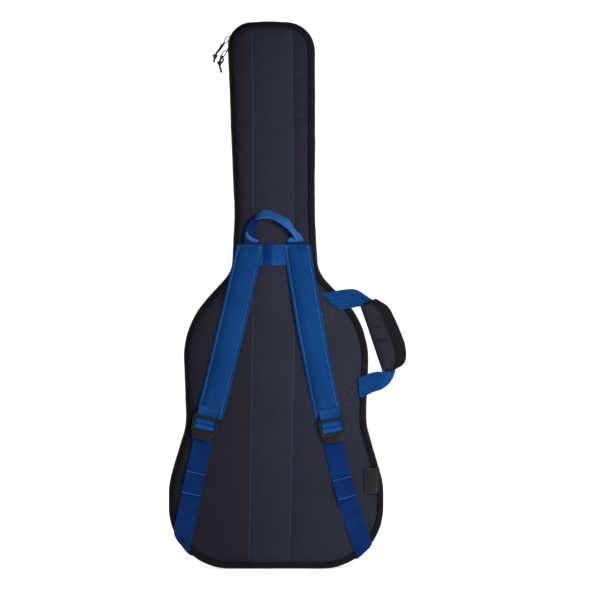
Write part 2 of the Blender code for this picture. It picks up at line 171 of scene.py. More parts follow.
def nylonFinish(name, colour, look):
    # woven nylon: fine plain weave with painted shade where its threads dip, broad soft colour drift and dusty high
    # spots
    cloth = Finish(name, colour, 0.6, Sheen_Weight=0.003, Sheen_Roughness=0.45, Specular_IOR_Level=look["gloss"])
    if look["onMap"]:
        u, v = cloth.along()
    else:
        u, across, v = cloth.place()
    weave = plainWeave(u, v, look["pitch"])
    drift = cloth.noise(9.0, 4, onMap=look["onMap"])
    slub = cloth.noise(look["slub"], 2, (0.06, 1, 1) if look["onMap"] else (1, 0.06, 1), look["onMap"])
    worn = cloth.tint(look["light"], (drift - 0.42) * 1.6)
    # painted shade: the dark tone goes where the weave dips between threads
    shade = cloth.tint(look["dark"], (1 - weave) * 0.55, worn)
    toned = cloth.tint(look["light"], (slub - 0.55) * 1.5, shade)
    if look["stripShade"]:
        # painted shade: beyond the two sewn channels the left outer strip is darkened all the way down and the right
        # one from half a metre up, standing in for shade on cloth that turns away from the light
        leftSeam = (0.0523 - v * 0.0152).most(0.0444).most(0.0287 + v * 0.0180)
        rightSeam = (0.0256 + v * 0.0214).least(0.0347).least(0.0417 - v * 0.0104)
        left = (u * -1 - leftSeam).over(0.0) * look["stripShade"]
        right = (u - rightSeam).over(0.0) * ((v - 0.50) * 4).most(0.0).least(look["stripShade"] * 0.6)
        toned = cloth.tint(look["dark"], left + right, toned)
    cloth.put("Base Color", toned)
    cloth.put("Roughness", look["rough"] + drift * 0.18)
    cloth.relief(weave + slub * 0.5, look["depth"])
    return cloth


def webbingFinish(name, colour, light, dark):
    # ribbed webbing: chevron floats in narrow lengthwise ribs, with a firm edge on each side, and painted shade where
    # the ribs and floats dip
    web = Finish(name, colour, 0.62, Sheen_Weight=0.004, Sheen_Roughness=0.4, Specular_IOR_Level=0.05)
    u, v = web.along()
    rib = v.ridges(0.0048)
    slope = (v * (2 * math.pi / 0.0096)).sine() * 0.0011
    floats = (u + slope).ridges(0.0021)
    height = floats * (0.35 + rib * 0.65)
    drift = web.noise(22.0, 4, (1, 0.35, 1), True)
    # painted shade: the dark tone goes where the ribs and floats dip; the paler drift is the webbing's own uneven
    # tone
    grooveShade = web.tint(dark, (1 - height) * 0.75)
    web.put("Base Color", web.tint(light, (drift - 0.40) * 1.5, grooveShade))
    web.put("Roughness", 0.52 + drift * 0.25)
    web.relief(height, 0.00055)
    return web


def threadFinish(name, colour):
    # three-ply sewing thread, twisted along each stitch, with painted shade in the grooves of the twist
    thread = Finish(name, colour, 0.55, Sheen_Weight=0.2, Specular_IOR_Level=0.4)
    u, across, v = thread.place()
    twist = (u + v).ridges(0.0007)
    fleck = thread.noise(300.0, 1)
    # painted shade in the grooves of the twist; the flecks are the thread's own tone
    thread.put("Base Color", thread.tint(tuple(c * 0.45 for c in colour), (1 - twist) * 0.5 + fleck * 0.2))
    thread.relief(twist, 0.0002)
    return thread


def plasticFinish():
    # moulded acetal: fine pebble grain, rubbed a little smoother and paler on broad faces
    plastic = Finish("buckleAcetal", (0.0042, 0.0040, 0.0042), 0.42, Specular_IOR_Level=0.14)
    grain = plastic.noise(1900.0, 2)
    scuff = plastic.noise(95.0, 5, (1, 1, 3.0))
    plastic.put("Base Color", plastic.tint((0.016, 0.0155, 0.016), (scuff - 0.56) * 2.2))
    plastic.put("Roughness", 0.34 + scuff * 0.22)
    plastic.relief(grain, 0.00006)
    return plastic


def enamelFinish():
    # black enamel on zinc, with bright metal where it has chipped
    enamel = Finish("sliderEnamel", (0.012, 0.012, 0.013), 0.32, Specular_IOR_Level=0.55, Coat_Weight=0.25)
    chips = enamel.noise(620.0, 4).over(0.665)
    enamel.put("Base Color", enamel.tint((0.20, 0.19, 0.18), chips * 0.7))
    enamel.put("Metallic", chips * 0.8)
    enamel.put("Roughness", 0.26 + enamel.noise(240.0, 3) * 0.2)
    return enamel


def zipTapeFinish():
    # knitted zip tape with fine ribs across it, the tops of the ribs painted lighter as a painted highlight
    tape = Finish("zipTapeKnit", (0.010, 0.010, 0.012), 0.8, Sheen_Weight=0.15)
    u, v = tape.along()
    ribs = u.ridges(0.0011) * (0.5 + v.ridges(0.0014) * 0.5)
    # painted highlight: the paler tone goes on the tops of the ribs
    tape.put("Base Color", tape.tint((0.022, 0.022, 0.026), ribs * 0.7))
    tape.relief(ribs, 0.0003)
    return tape


def coilFinish():
    # polished nylon coil, greyer where fingers and sliders rub
    coil = Finish("zipCoilNylon", (0.014, 0.014, 0.015), 0.3, Specular_IOR_Level=0.5)
    rub = coil.noise(60.0, 3)
    coil.put("Base Color", coil.tint((0.045, 0.045, 0.05), (rub - 0.5) * 1.5))
    coil.put("Roughness", 0.22 + rub * 0.3)
    return coil


def cordFinish():
    # braided cord: two sets of strands wound opposite ways, their crowns painted lighter as a painted highlight
    braid = Finish("braidedCord", (0.010, 0.010, 0.012), 0.7, Sheen_Weight=0.2)
    u, v = braid.along()
    one = (u + v * 0.8).ridges(0.0013)
    other = (u - v * 0.8).ridges(0.0013)
    # painted highlight: the paler tone goes on the crowns of the strands
    braid.put("Base Color", braid.tint((0.032, 0.032, 0.036), one.most(other) * 0.8 - 0.25))
    braid.relief(one.most(other), 0.0004)
    return braid


def liningFinish():
    # brushed tricot lining with a soft nap that lies in patches
    lining = Finish("brushedLining", (0.020, 0.020, 0.026), 0.85, Sheen_Weight=0.45, Sheen_Roughness=0.3)
    nap = lining.noise(26.0, 6)
    fibre = lining.noise(900.0, 2, (1, 1, 0.25))
    lining.put("Base Color", lining.tint((0.040, 0.040, 0.050), (nap - 0.4) * 1.3 + fibre * 0.2))
    lining.put("Roughness", 0.75 + nap * 0.2)
    lining.relief(fibre + nap * 0.6, 0.0005)
    return lining


def tagFinish():
    # blank satin tag with a slanting weave, its satin ridges painted lighter as a painted sheen over its own cloudy
    # tone
    tag = Finish("wovenTag", (0.0045, 0.0045, 0.0056), 0.5, Sheen_Weight=0.01, Specular_IOR_Level=0.10)
    u, v = tag.along()
    satin = (u + v * 3.0).ridges(0.0006)
    # painted sheen on the satin ridges; the noise adds the tag's own cloudy tone
    tag.put("Base Color", tag.tint((0.011, 0.011, 0.013), satin * 0.5 + tag.noise(40.0, 3) * 0.3))
    tag.relief(satin, 0.00015)
    return tag


def wallFinish():
    # black coated nylon on the side walls, creased and slightly dusty, its raised threads a little paler as a painted
    # highlight
    wall = Finish("wallNylon", (0.0040, 0.0036, 0.0054), 0.74, Sheen_Weight=0.004, Specular_IOR_Level=0.05)
    u, v = wall.along()
    weave = plainWeave(u, v, 0.0011)
    dust = wall.noise(18.0, 6)
    # real dust from the noise, plus a small painted highlight on the raised threads of the weave
    wall.put("Base Color", wall.tint((0.011, 0.010, 0.0135), (dust - 0.5) * 1.2 + weave * 0.12))
    wall.put("Roughness", 0.62 + dust * 0.25)
    wall.relief(weave, 0.00022)
    return wall


# thread pitch, scale of the slubs, relief, shine, roughness, which map, how much painted shade darkens the outer
# strip beyond each channel, tones
panelLook = {"pitch": 0.0009, "slub": 160.0, "depth": 0.00018, "gloss": 0.10, "rough": 0.42, "onMap": False,
             "stripShade": 0.85, "light": (0.0140, 0.0155, 0.0290), "dark": (0.0036, 0.0040, 0.0095)}
padLook = {"pitch": 0.0011, "slub": 150.0, "depth": 0.00022, "gloss": 0.05, "rough": 0.60, "onMap": True,
           "stripShade": 0, "light": (0.0030, 0.0450, 0.1600), "dark": (0.0003, 0.0135, 0.0660)}
gripLook = dict(panelLook, onMap=True, stripShade=0,
                light=(0.0120, 0.0128, 0.0210), dark=(0.0034, 0.0036, 0.0066))

finishes = {
    "panel": nylonFinish("panelNylon", (0.0084, 0.0094, 0.0200), panelLook),
    "pad": nylonFinish("strapNylon", (0.0008, 0.0270, 0.1090), padLook),
    "grip": nylonFinish("gripNylon", (0.0060, 0.0064, 0.0112), gripLook),
    "webbing": webbingFinish("blueWebbing", (0.0020, 0.0360, 0.1500), (0.0080, 0.0720, 0.2500),
                             (0.0003, 0.0100, 0.0500)),
    # painted shade: a darker copy of the same blue webbing, used for runs that lie in shade
    "shadedWebbing": webbingFinish("blueWebbingShaded", (0.0002, 0.0140, 0.0820), (0.0010, 0.0300, 0.1400),
                                (0.0001, 0.0045, 0.0300)),
    "wall": wallFinish(),
    # painted light: a lighter copy of the same blue webbing, used for the hanging loop's arch where light falls on it
    "litWebbing": webbingFinish("blueWebbingLit", (0.0170, 0.0900, 0.3200), (0.0450, 0.1650, 0.4600),
                                 (0.0020, 0.0270, 0.1200)),
    "thread": threadFinish("blueThread", (0.010, 0.050, 0.140)),
    "paleThread": threadFinish("strapThread", (0.050, 0.190, 0.460)),
    "darkThread": threadFinish("blackThread", (0.014, 0.014, 0.018)),
    "plastic": plasticFinish(),
    "enamel": enamelFinish(),
    "tape": zipTapeFinish(),
    "coil": coilFinish(),
    "cord": cordFinish(),
    "lining": liningFinish(),
    "tag": tagFinish(),
}
print("finishes ready")


# ---- mesh helpers

def unit(vectors):
    vectors = np.asarray(vectors, float)
    return vectors / np.maximum(np.linalg.norm(vectors, axis=-1, keepdims=True), 1e-12)


def lengths(points):
    # running length along a line of points
    return np.concatenate([[0], np.cumsum(np.linalg.norm(np.diff(points, axis=0), axis=1))])


def smoothLine(points, count):
    # Catmull-Rom curve through the points: each span is a cubic whose end slopes come from its neighbours
    p = np.asarray(points, float)
    p = np.vstack([2 * p[0] - p[1], p, 2 * p[-1] - p[-2]])
    spans = len(p) - 3
    t = np.linspace(0, spans, count)
    k = np.minimum(t.astype(int), spans - 1)
    f = (t - k)[:, None]
    a, b, c, d = p[k], p[k + 1], p[k + 2], p[k + 3]
    return 0.5 * (2 * b + (c - a) * f + (2 * a - 5 * b + 4 * c - d) * f**2 + (3 * b - a - 3 * c + d) * f**3)


def evenly(points, count, closed=False):
    # the same line with its points an equal length apart
    line = np.vstack([points, points[:1]]) if closed else np.asarray(points, float)
    along = lengths(line)
    stops = np.linspace(0, along[-1], count, endpoint=not closed)
    return np.column_stack([np.interp(stops, along, line[:, k]) for k in range(line.shape[1])])


def smoothstep(low, high, value):
    # 0 below low, 1 above high, and an S between them
    t = np.clip((value - low) / (high - low), 0, 1)
    return t * t * (3 - 2 * t)


def squared(value, power):
    # a sine or cosine made fuller towards its ends, keeping its sign: its size to a power under 1
    return np.sign(value) * np.abs(value) ** power


def ripple(a, b, seed, count=7):
    # a repeatable soft unevenness: a sum of crossed sines of random slant, about -1 to 1
    random = np.random.default_rng(seed)
    total = np.zeros(np.broadcast(a, b).shape)
    for wave in range(count):
        angle, phase = random.uniform(0, 2 * math.pi, 2)
        scale = random.uniform(0.35, 1.0)
        total = total + np.sin((a * math.cos(angle) + b * math.sin(angle)) * scale + phase)
    return total / math.sqrt(count) / 1.6


def build(name, points, faces, finish, uv=None):
    # points and faces made into a smooth piece with its faces out and its finish on it
    mesh = bpy.data.meshes.new(name)
    mesh.from_pydata(np.asarray(points, float).reshape(-1, 3).tolist(), [], faces)
    if uv is not None:
        layer = mesh.uv_layers.new(name="cloth")
        layer.uv.foreach_set("vector", np.asarray(uv, np.float32).ravel())
    shape = bmesh.new()
    shape.from_mesh(mesh)
    bmesh.ops.recalc_face_normals(shape, faces=shape.faces)
    shape.to_mesh(mesh)
    shape.free()
    mesh.polygons.foreach_set("use_smooth", np.ones(len(mesh.polygons), bool))
    mesh.materials.append(finishes[finish].material)
    piece = bpy.data.objects.new(name, mesh)
    scene.collection.objects.link(piece)
    return piece


def loft(name, rings, finish, closed=False, along=None, across=None):
    # closed sections one after another make a skin; its two ends are capped, or joined when closed
    rings = np.asarray(rings, float)
    n, m = rings.shape[:2]
    i, j = np.meshgrid(np.arange(n if closed else n - 1), np.arange(m), indexing="ij")
    after, beside = (i + 1) % n, (j + 1) % m
    quads = np.stack([i * m + j, after * m + j, after * m + beside, i * m + beside], -1).reshape(-1, 4)
    if along is None:
        along = lengths(np.vstack([rings[:, 0], rings[:1, 0]]))
    if across is None:
        across = lengths(np.vstack([rings[n // 2], rings[n // 2][:1]]))
    u = np.append(along, along[:1]) if len(along) == n else np.asarray(along)
    v = np.append(across, across[:1]) if len(across) == m else np.asarray(across)
    uv = np.stack([np.stack([u[i], v[j]], -1), np.stack([u[i + 1], v[j]], -1),
                   np.stack([u[i + 1], v[j + 1]], -1), np.stack([u[i], v[j + 1]], -1)], -2).reshape(-1, 2)
    faces = quads.tolist()
    if not closed:
        faces += [list(range(m))[::-1], list(range((n - 1) * m, n * m))]
        uv = np.vstack([uv, np.column_stack([np.full(m, u[0]), v[:m][::-1]]),
                        np.column_stack([np.full(m, u[n - 1]), v[:m]])])
    return build(name, rings, faces, finish, uv)


def roundSection(width, thick, count=28, flat=0.28):
    # a flattened superellipse: positions across the strip and up from its middle
    angle = np.linspace(0, 2 * math.pi, count, endpoint=False) + math.pi / count
    return np.column_stack([width / 2 * squared(np.cos(angle), flat), thick / 2 * squared(np.sin(angle), 0.5)])


def sweep(name, path, side, section, finish, scale=None):
    # a section carried along a path: its first axis follows side, its second is square to both
    path = np.asarray(path, float)
    travel = unit(np.gradient(path, axis=0))
    side = np.broadcast_to(np.asarray(side, float), path.shape)
    side = unit(side - travel * (side * travel).sum(-1, keepdims=True))
    up = np.cross(travel, side)
    sizes = np.ones((len(path), 1)) if scale is None else np.asarray(scale, float).reshape(len(path), -1)
    a = section[None, :, :1] * sizes[:, None, :1]
    h = section[None, :, 1:] * sizes[:, None, -1:]
    rings = path[:, None] + side[:, None] * a + up[:, None] * h
    return loft(name, rings, finish, along=lengths(path), across=section[:, 0])


def tube(name, path, radius, finish, sides=10, closed=False):
    # round section, measured from a side vector square to the path and to Y, or to X where the path runs along Y
    path = np.asarray(path, float)
    travel = unit(np.roll(path, -1, 0) - np.roll(path, 1, 0) if closed else np.gradient(path, axis=0))
    start = np.cross(travel, [0, 1, 0])
    side = unit(np.where(np.linalg.norm(start, axis=1, keepdims=True) > 0.2, start, np.cross(travel, [1, 0, 0])))
    up = np.cross(travel, side)
    angle = np.linspace(0, 2 * math.pi, sides, endpoint=False)
    reach = np.broadcast_to(np.asarray(radius, float), len(path))[:, None, None]
    rings = path[:, None] + (side[:, None] * np.cos(angle)[:, None] + up[:, None] * np.sin(angle)[:, None]) * reach
    along = lengths(np.vstack([path, path[:1]])) if closed else lengths(path)
    around = np.linspace(0, 2 * math.pi * float(np.max(radius)), sides + 1)
    return loft(name, rings, finish, closed, along, around)


def pebble(halves, rows, square, sides=6):
    # a small closed superellipsoid, as points and faces, for things repeated many times
    lat = np.linspace(-math.pi / 2, math.pi / 2, rows + 1)[1:-1]
    lon = np.linspace(0, 2 * math.pi, sides, endpoint=False)
    ring = np.stack([squared(np.cos(lon), square), squared(np.sin(lon), square)], -1)
    rise = np.broadcast_to(squared(np.sin(lat), square)[:, None, None], (rows - 1, sides, 1))
    body = np.concatenate([ring[None] * squared(np.cos(lat), square)[:, None, None], rise], -1)
    points = np.vstack([body.reshape(-1, 3), [[0, 0, -1], [0, 0, 1]]]) * np.asarray(halves)
    low, high = len(points) - 2, len(points) - 1
    i, j = np.meshgrid(np.arange(rows - 2) * sides, np.arange(sides), indexing="ij")
    beside = (j + 1) % sides
    faces = np.stack([i + j, i + beside, i + sides + beside, i + sides + j], -1).reshape(-1, 4).tolist()
    k = np.arange(sides)
    faces += np.column_stack([np.full(sides, low), (k + 1) % sides, k]).tolist()
    last = (rows - 2) * sides
    faces += np.column_stack([np.full(sides, high), last + k, last + (k + 1) % sides]).tolist()
    return points, faces


def repeat(name, shape, origins, axes, finish):
    # copies of one small closed shape in one mesh, each with its own origin and its own three axes
    points, faces = shape
    origins, axes = np.asarray(origins, float), np.asarray(axes, float)
    placed = origins[:, None] + np.einsum("pk,nkc->npc", points, axes)
    count = len(points)
    every = [[v + base for v in face] for base in range(0, count * len(origins), count) for face in faces]
    return build(name, placed, every, finish)


def stitches(name, line, lift, finish, pitch, length, radius):
    # a row of thread stitches along a line; lift is the way out of the cloth, one for all or one for each point
    both = np.hstack([line, np.broadcast_to(np.asarray(lift, float), np.shape(line))])
    total = lengths(line)[-1]
    stops = np.linspace(0, total, max(2, int(total / pitch)))
    spots, out = np.hsplit(np.column_stack([np.interp(stops, lengths(line), both[:, k]) for k in range(6)]), 2)
    travel = unit(np.gradient(spots, axis=0))
    out = unit(out - travel * (out * travel).sum(-1, keepdims=True))
    axes = np.stack([np.cross(travel, out), out, travel], 1)
    return repeat(name, pebble((radius, radius * 0.8, length / 2), 5, 0.9), spots, axes, finish)


def boxStitch(corners):
    # the line of a sewn square with its diagonals
    a, b, c, d = (np.asarray(corner, float) for corner in corners)
    order = [a, b, c, d, a, c, d, b]
    return np.vstack([np.linspace(p, q, 30) for p, q in zip(order, order[1:])])


clothSim = {"steps": 20, "stiffness": 15.0, "quality": 4}


def inflate(piece, held, pressure, cap, slack=0.0):
    # cloth pushed outwards with its seam points held; a move beyond the cap is drawn in smoothly
    mesh = piece.data
    rest = np.empty(len(mesh.vertices) * 3, np.float32)
    mesh.vertices.foreach_get("co", rest)
    group = piece.vertex_groups.new(name="held")
    group.add(np.flatnonzero(held).tolist(), 1.0, "REPLACE")
    cloth = piece.modifiers.new("Cloth", "CLOTH")
    settings = cloth.settings
    settings.vertex_group_mass = "held"
    settings.use_pressure = True
    settings.uniform_pressure_force = pressure
    settings.effector_weights.gravity = 0
    settings.tension_stiffness = settings.compression_stiffness = clothSim["stiffness"]
    settings.shrink_min = -slack
    settings.quality = clothSim["quality"]
    cloth.point_cache.frame_start, cloth.point_cache.frame_end = 1, clothSim["steps"]
    for step in range(1, clothSim["steps"] + 1):
        scene.frame_set(step)
    moved = np.empty_like(rest)
    piece.evaluated_get(bpy.context.evaluated_depsgraph_get()).data.vertices.foreach_get("co", moved)
    piece.modifiers.remove(cloth)
    piece.vertex_groups.clear()
    scene.frame_set(1)
    shift = (moved - rest).reshape(-1, 3)
    far = np.maximum(np.linalg.norm(shift, axis=1, keepdims=True), 1e-9)
    mesh.vertices.foreach_set("co", (rest.reshape(-1, 3) + shift * (cap * np.tanh(far / cap) / far)).ravel())
    mesh.update()
    print(piece.name, "inflated, mean move in mm", round(float(far.mean()) * 1000, 2))


def settle(piece, body, slot, *nodes):
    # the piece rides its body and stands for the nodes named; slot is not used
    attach(piece, body)
    if nodes:
        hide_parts(*nodes)
    return piece


# each kind of seam: the pitch, length and radius of its stitches
seams = {
    "channel": (0.0046, 0.0034, 0.00048), "wall": (0.0050, 0.0036, 0.0004), "pad": (0.0040, 0.0027, 0.00046),
    "webbing": (0.0036, 0.0026, 0.0004), "hem": (0.0034, 0.0025, 0.00042), "foot": (0.0036, 0.0027, 0.00042),
    "barTack": (0.0022, 0.0018, 0.00045), "tag": (0.0030, 0.0022, 0.00035), "flap": (0.0040, 0.0029, 0.0004),
    "grip": (0.0038, 0.0028, 0.00042), "box": (0.0036, 0.0028, 0.00042), "pocket": (0.0042, 0.0031, 0.00045),
    "pocketTape": (0.0036, 0.0027, 0.00038),
}


def sewn(name, line, body, slot, kind, finish="darkThread", lift=(0, -1, 0)):
    # a row of stitches put on its body
    settle(stitches(name, line, lift, finish, *seams[kind]), body, slot)


# ---- camera, light and floor

studio = {
    "aim": (0.0463, 0.0, 0.5211), "away": 4.045, "focal": 36 * 4.0 / 1.158, "sensor": 36, "paper": 0.90,
    "glow": 0.75, "world": 0.13,
    # the floor runs from front to where it curves up by its radius, and on to its top
    "front": -14.0, "curve": 7.5, "radius": 1.5, "top": 6.0, "halfWidth": 12.0, "floor": -0.0005,
    # each light: position, size, watts
    "lights": (((0.66, -0.90, 0.66), 0.5, 17.0), ((-1.9, -2.4, 1.4), 1.6, 3.0), ((0.5, -0.9, 2.6), 1.2, 15.0),
               ((0.4, 1.9, 1.6), 1.6, 36.0), ((-1.6, 1.2, 1.0), 1.2, 12.0)),
}


def aimed(thing, place, target):
    thing.location = place
    direction = np.asarray(target, float) - np.asarray(place, float)
    flat = math.hypot(direction[0], direction[1])
    thing.rotation_euler = (math.atan2(flat, -direction[2]), 0, math.atan2(-direction[0], direction[1]))
    scene.collection.objects.link(thing)
    return thing


lens = bpy.data.cameras.new("portraitLens")
lens.sensor_width, lens.lens, lens.clip_end = studio["sensor"], studio["focal"], 50
eye = np.add(studio["aim"], (0, -studio["away"], 0))
scene.camera = aimed(bpy.data.objects.new("camera", lens), eye, studio["aim"])
scene.view_settings.view_transform = "Standard"
scene.world = scene.world or bpy.data.worlds.new("studioAir")
scene.world.use_nodes = True
air = scene.world.node_tree.nodes["Background"].inputs
air["Color"].default_value, air["Strength"].default_value = (1, 1, 1, 1), studio["world"]
for index, (spot, size, power) in enumerate(studio["lights"]):
    lamp = bpy.data.lights.new(f"softLight{index + 1}", "AREA")
    lamp.shape, lamp.size, lamp.energy = "DISK", size, power
    light = aimed(bpy.data.objects.new(f"softLight{index + 1}", lamp), spot, (0, 0, 0.5))
    light.visible_camera = False

paper = Finish("studioPaper", (studio["paper"],) * 3, 0.9, Emission_Color=(1, 1, 1, 1),
               Emission_Strength=studio["glow"])
paper.put("Base Color", paper.tint((studio["paper"] - 0.01,) * 3, paper.noise(40.0, 4) * 0.5))
# paper floor in Y and Z, curving up into a backdrop
bend = np.linspace(0, math.pi / 2, 16)
backdropLine = np.vstack([[studio["front"], studio["floor"]],
                          np.column_stack([studio["curve"] + studio["radius"] * np.sin(bend),
                                           studio["floor"] + studio["radius"] * (1 - np.cos(bend))]),
                          [studio["curve"] + studio["radius"], studio["top"]]])
sides = np.array([-1, 1]) * studio["halfWidth"]
floorPoints = np.stack([np.broadcast_to(sides, (len(backdropLine), 2)), np.repeat(backdropLine[:, :1], 2, 1),
                        np.repeat(backdropLine[:, 1:], 2, 1)], -1)
k = 2 * np.arange(len(backdropLine) - 1)
floorMesh = bpy.data.meshes.new("floor")
floorMesh.from_pydata(floorPoints.reshape(-1, 3).tolist(), [], np.column_stack([k, k + 1, k + 3, k + 2]).tolist())
floorMesh.materials.append(paper.material)
floorMesh.polygons.foreach_set("use_smooth", np.ones(len(k), bool))
floor = bpy.data.objects.new("floor", floorMesh)
scene.collection.objects.link(floor)
print("camera and light ready")


# ---- the knotted cord on each zip pull

zipPlane = 0.018  # how far in front of the bag's middle the zip runs

cords = {
    "upper": {"line": ((-0.1018, 1.0252), (-0.1068, 1.0195), (-0.1120, 1.0125), (-0.1168, 1.0060), (-0.1200, 0.9995),
                       (-0.1214, 0.9935), (-0.1226, 0.9872)),
              "knot": (-0.1202, 0.9988), "lean": 0.0009, "open": 0.0022, "hitch": 1},
    "lower": {"line": ((-0.1072, 0.9975), (-0.1096, 0.9925), (-0.1108, 0.9880), (-0.1114, 0.9835), (-0.1104, 0.9770),
                       (-0.1088, 0.9720), (-0.1074, 0.9665)),
              "knot": (-0.1112, 0.9850), "lean": -0.0011, "open": 0.0062, "hitch": 0},
    "radius": 0.0021, "knotSize": 0.0036, "hitchSize": 0.62,
    # thickness of the knot, the doubled strand and the hitch, as shares of the cord's radius
    "knotThin": 0.92, "strandThin": 0.78, "hitchThin": 0.75,
    "doubled": 0.55,  # share of the cord that is doubled
}


def knotPath(centre, size, y):
    # an overhand knot: a trefoil flattened against the cord it is tied in
    t = np.linspace(0, 2 * math.pi, 90, endpoint=False)
    trefoil = np.column_stack([np.sin(t) + 2 * np.sin(2 * t), 0.9 * -np.sin(3 * t), np.cos(t) - 2 * np.cos(2 * t)])
    return trefoil * size / 3 + np.array([centre[0], y, centre[1]])


for name in ("upper", "lower"):
    plan = cords[name]
    line = smoothLine(plan["line"], 60)
    fall = np.linspace(0, 1, 60)
    path = np.column_stack([line[:, 0], zipPlane + plan["lean"] * np.sin(math.pi * fall), line[:, 1]])
    strand = tube(name + "PullCord", path, cords["radius"], "cord", 12)
    settle(strand, name + "_pull", "pull_cord", "pull_cord_" + name)
    knot = tube(name + "CordKnot", knotPath(plan["knot"], cords["knotSize"], path[38, 1]),
                cords["radius"] * cords["knotThin"], "cord", closed=True)
    # the cord is doubled above its knot and stands open there as a narrow loop round the wire
    reach = np.linspace(0, 1, 40)
    lead = np.array([np.interp(reach * cords["doubled"], fall, path[:, k]) for k in range(3)]).T
    lead[:, 0] += plan["open"] * np.sin(math.pi * reach) ** 0.8
    lead[:, 2] += plan["open"] * 0.25 * np.sin(math.pi * reach)
    doubled = tube(name + "CordLoop", lead, cords["radius"] * cords["strandThin"], "cord", 12)
    hitch = tube(name + "CordHitch", knotPath(plan["line"][plan["hitch"]], cords["knotSize"] * cords["hitchSize"],
                                              zipPlane), cords["radius"] * cords["hitchThin"], "cord", closed=True)
    for extra in (knot, doubled, hitch):
        settle(extra, name + "_pull", "pull_cord")
    measured = float(lengths(path)[-1])
    print(name, "cord length", round(measured * 1000, 1), "mm")


# ---- the bag's outline and the layers that follow it

bag = {
    "corners": ((-0.209, 0.143, 0), (-0.208, 0, 0.120), (0.208, 0, 0.120), (0.209, 0.165, 0.150),
                (0.174, 0.281, 0.120), (0.182, 0.470, 0.165), (0.081, 0.575, 0.060), (0.0755, 0.690, 0.600),
                (0.076, 1.057, 0.057), (-0.012, 1.062, 0.300), (-0.096, 1.057, 0.047), (-0.081, 0.690, 0.600),
                (-0.086, 0.577, 0.060), (-0.182, 0.470, 0.165), (-0.174, 0.281, 0.120), (-0.209, 0.165, 0.150)),
    "seamInset": 0.0122, "pipingInset": 0.0106, "pipingRadius": 0.0024,
    "leftChannel": ((0.019, -0.0520), (0.520, -0.0444), (0.870, -0.0444), (1.042, -0.0475)),
    "rightChannel": ((0.019, 0.0260), (0.425, 0.0347), (0.675, 0.0347), (1.032, 0.0310)),
}
channels = (bag["leftChannel"], bag["rightChannel"])

# both padded panels: depth of their face and of the flat side behind it, how the rolled edge and the channels are
# drawn in, how far the cloth fills out, and the grid they're made from
quilt = {
    "face": 0.0383, "back": 0.0345, "rollWide": 0.0045, "rollDeep": 0.0022, "seamWide": 0.0026, "seamDeep": 0.0011,
    "puff": 0.0030, "fillWide": 0.012, "pressure": 3.0, "slack": 0.004, "columns": (24, 18, 24), "rows": 150,
    "pad": 0.55, "channelTop": 1.0400,
}


def rounded(corners):
    # each corner becomes an arc that touches both its sides, its centre one radius in from them
    spots, line = np.array([corner[:2] for corner in corners]), []
    for before, here, after, radius in zip(np.roll(spots, 1, 0), spots, np.roll(spots, -1, 0),
                                           [c[2] for c in corners]):
        come, go = unit(here - before), unit(after - here)
        turn = math.atan2(come[0] * go[1] - come[1] * go[0], come @ go)
        inward, hand = np.array([-come[1], come[0]]), math.copysign(1, turn)
        centre = here - come * radius * math.tan(abs(turn) / 2) + inward * radius * hand
        angle = np.linspace(0, turn, 24 if radius else 1)
        spoke, c, s = -inward * hand * radius, np.cos(angle), np.sin(angle)
        line.append(centre + np.column_stack([spoke[0] * c - spoke[1] * s, spoke[0] * s + spoke[1] * c]))
    return np.vstack(line)


def rim(corners, count):
    # evenly spaced points of a closed outline, and the way in from each
    line = evenly(rounded(corners), count, closed=True)
    travel = unit(np.roll(line, -2, 0) - np.roll(line, 2, 0))
    return line, np.column_stack([-travel[:, 1], travel[:, 0]])


def around(name, profile, finish, corners, count=720, sway=0.0, seed=1):
    # a section given as insets and depths, carried once round an outline; sway is how far its bulge wanders
    profile = np.asarray(profile, float)
    line, inward = rim(corners, count)
    place = np.arange(count)[:, None]
    spread = profile[None, :, 0] + 0 * place
    if sway:
        turn = 2 * math.pi * place / count
        wander = np.sin(turn * 9 + seed) + 0.7 * np.sin(turn * 23 + 2 * seed) + 0.45 * np.sin(turn * 61 + seed)
        loose = np.exp(-((profile[None, :, 1] - profile[:, 1].mean()) / 0.016) ** 2)
        spread = spread + sway * wander * loose * (profile[None, :, 0] < 0.006)
    flat = line[:, None] + inward[:, None] * spread[..., None]
    rings = np.stack([flat[..., 0], np.broadcast_to(profile[None, :, 1], spread.shape), flat[..., 1]], -1)
    return loft(name, rings, finish, closed=True, across=lengths(np.vstack([profile, profile[:1]])))


def sideways(points, y):
    # positions in X and Z put at a depth
    points = np.asarray(points, float)
    return np.column_stack([points[:, 0], np.broadcast_to(y, len(points)), points[:, 1]])


def openGrid(name, points, finish):
    # a sheet of quads, its map laid out flat in X and Z
    n, m = points.shape[:2]
    i, j = np.meshgrid(np.arange(n - 1), np.arange(m - 1), indexing="ij")
    faces = np.stack([i * m + j, (i + 1) * m + j, (i + 1) * m + j + 1, i * m + j + 1], -1).reshape(-1, 4)
    flat = points.reshape(-1, 3)
    return build(name, flat, faces.tolist(), finish, flat[faces][..., [0, 2]].reshape(-1, 2))


def facing(piece, y):
    # turns an open grid so that its faces look towards -Y or +Y
    normals = np.empty(len(piece.data.polygons) * 3)
    piece.data.polygons.foreach_get("normal", normals)
    if normals.reshape(-1, 3)[:, 1].sum() * y < 0:
        piece.data.flip_normals()
    return piece


def refined(piece, change=None):
    # one round of subdivision made real, then a change to its points
    piece.modifiers.new("Subsurf", "SUBSURF").levels = 1
    piece.modifiers["Subsurf"].render_levels = 1
    made = bpy.data.meshes.new_from_object(piece.evaluated_get(bpy.context.evaluated_depsgraph_get()))
    piece.modifiers.clear()
    piece.data = made
    if change:
        points = np.empty(len(made.vertices) * 3)
        made.vertices.foreach_get("co", points)
        made.vertices.foreach_set("co", change(points.reshape(-1, 3)).ravel())
        made.update()
    return piece


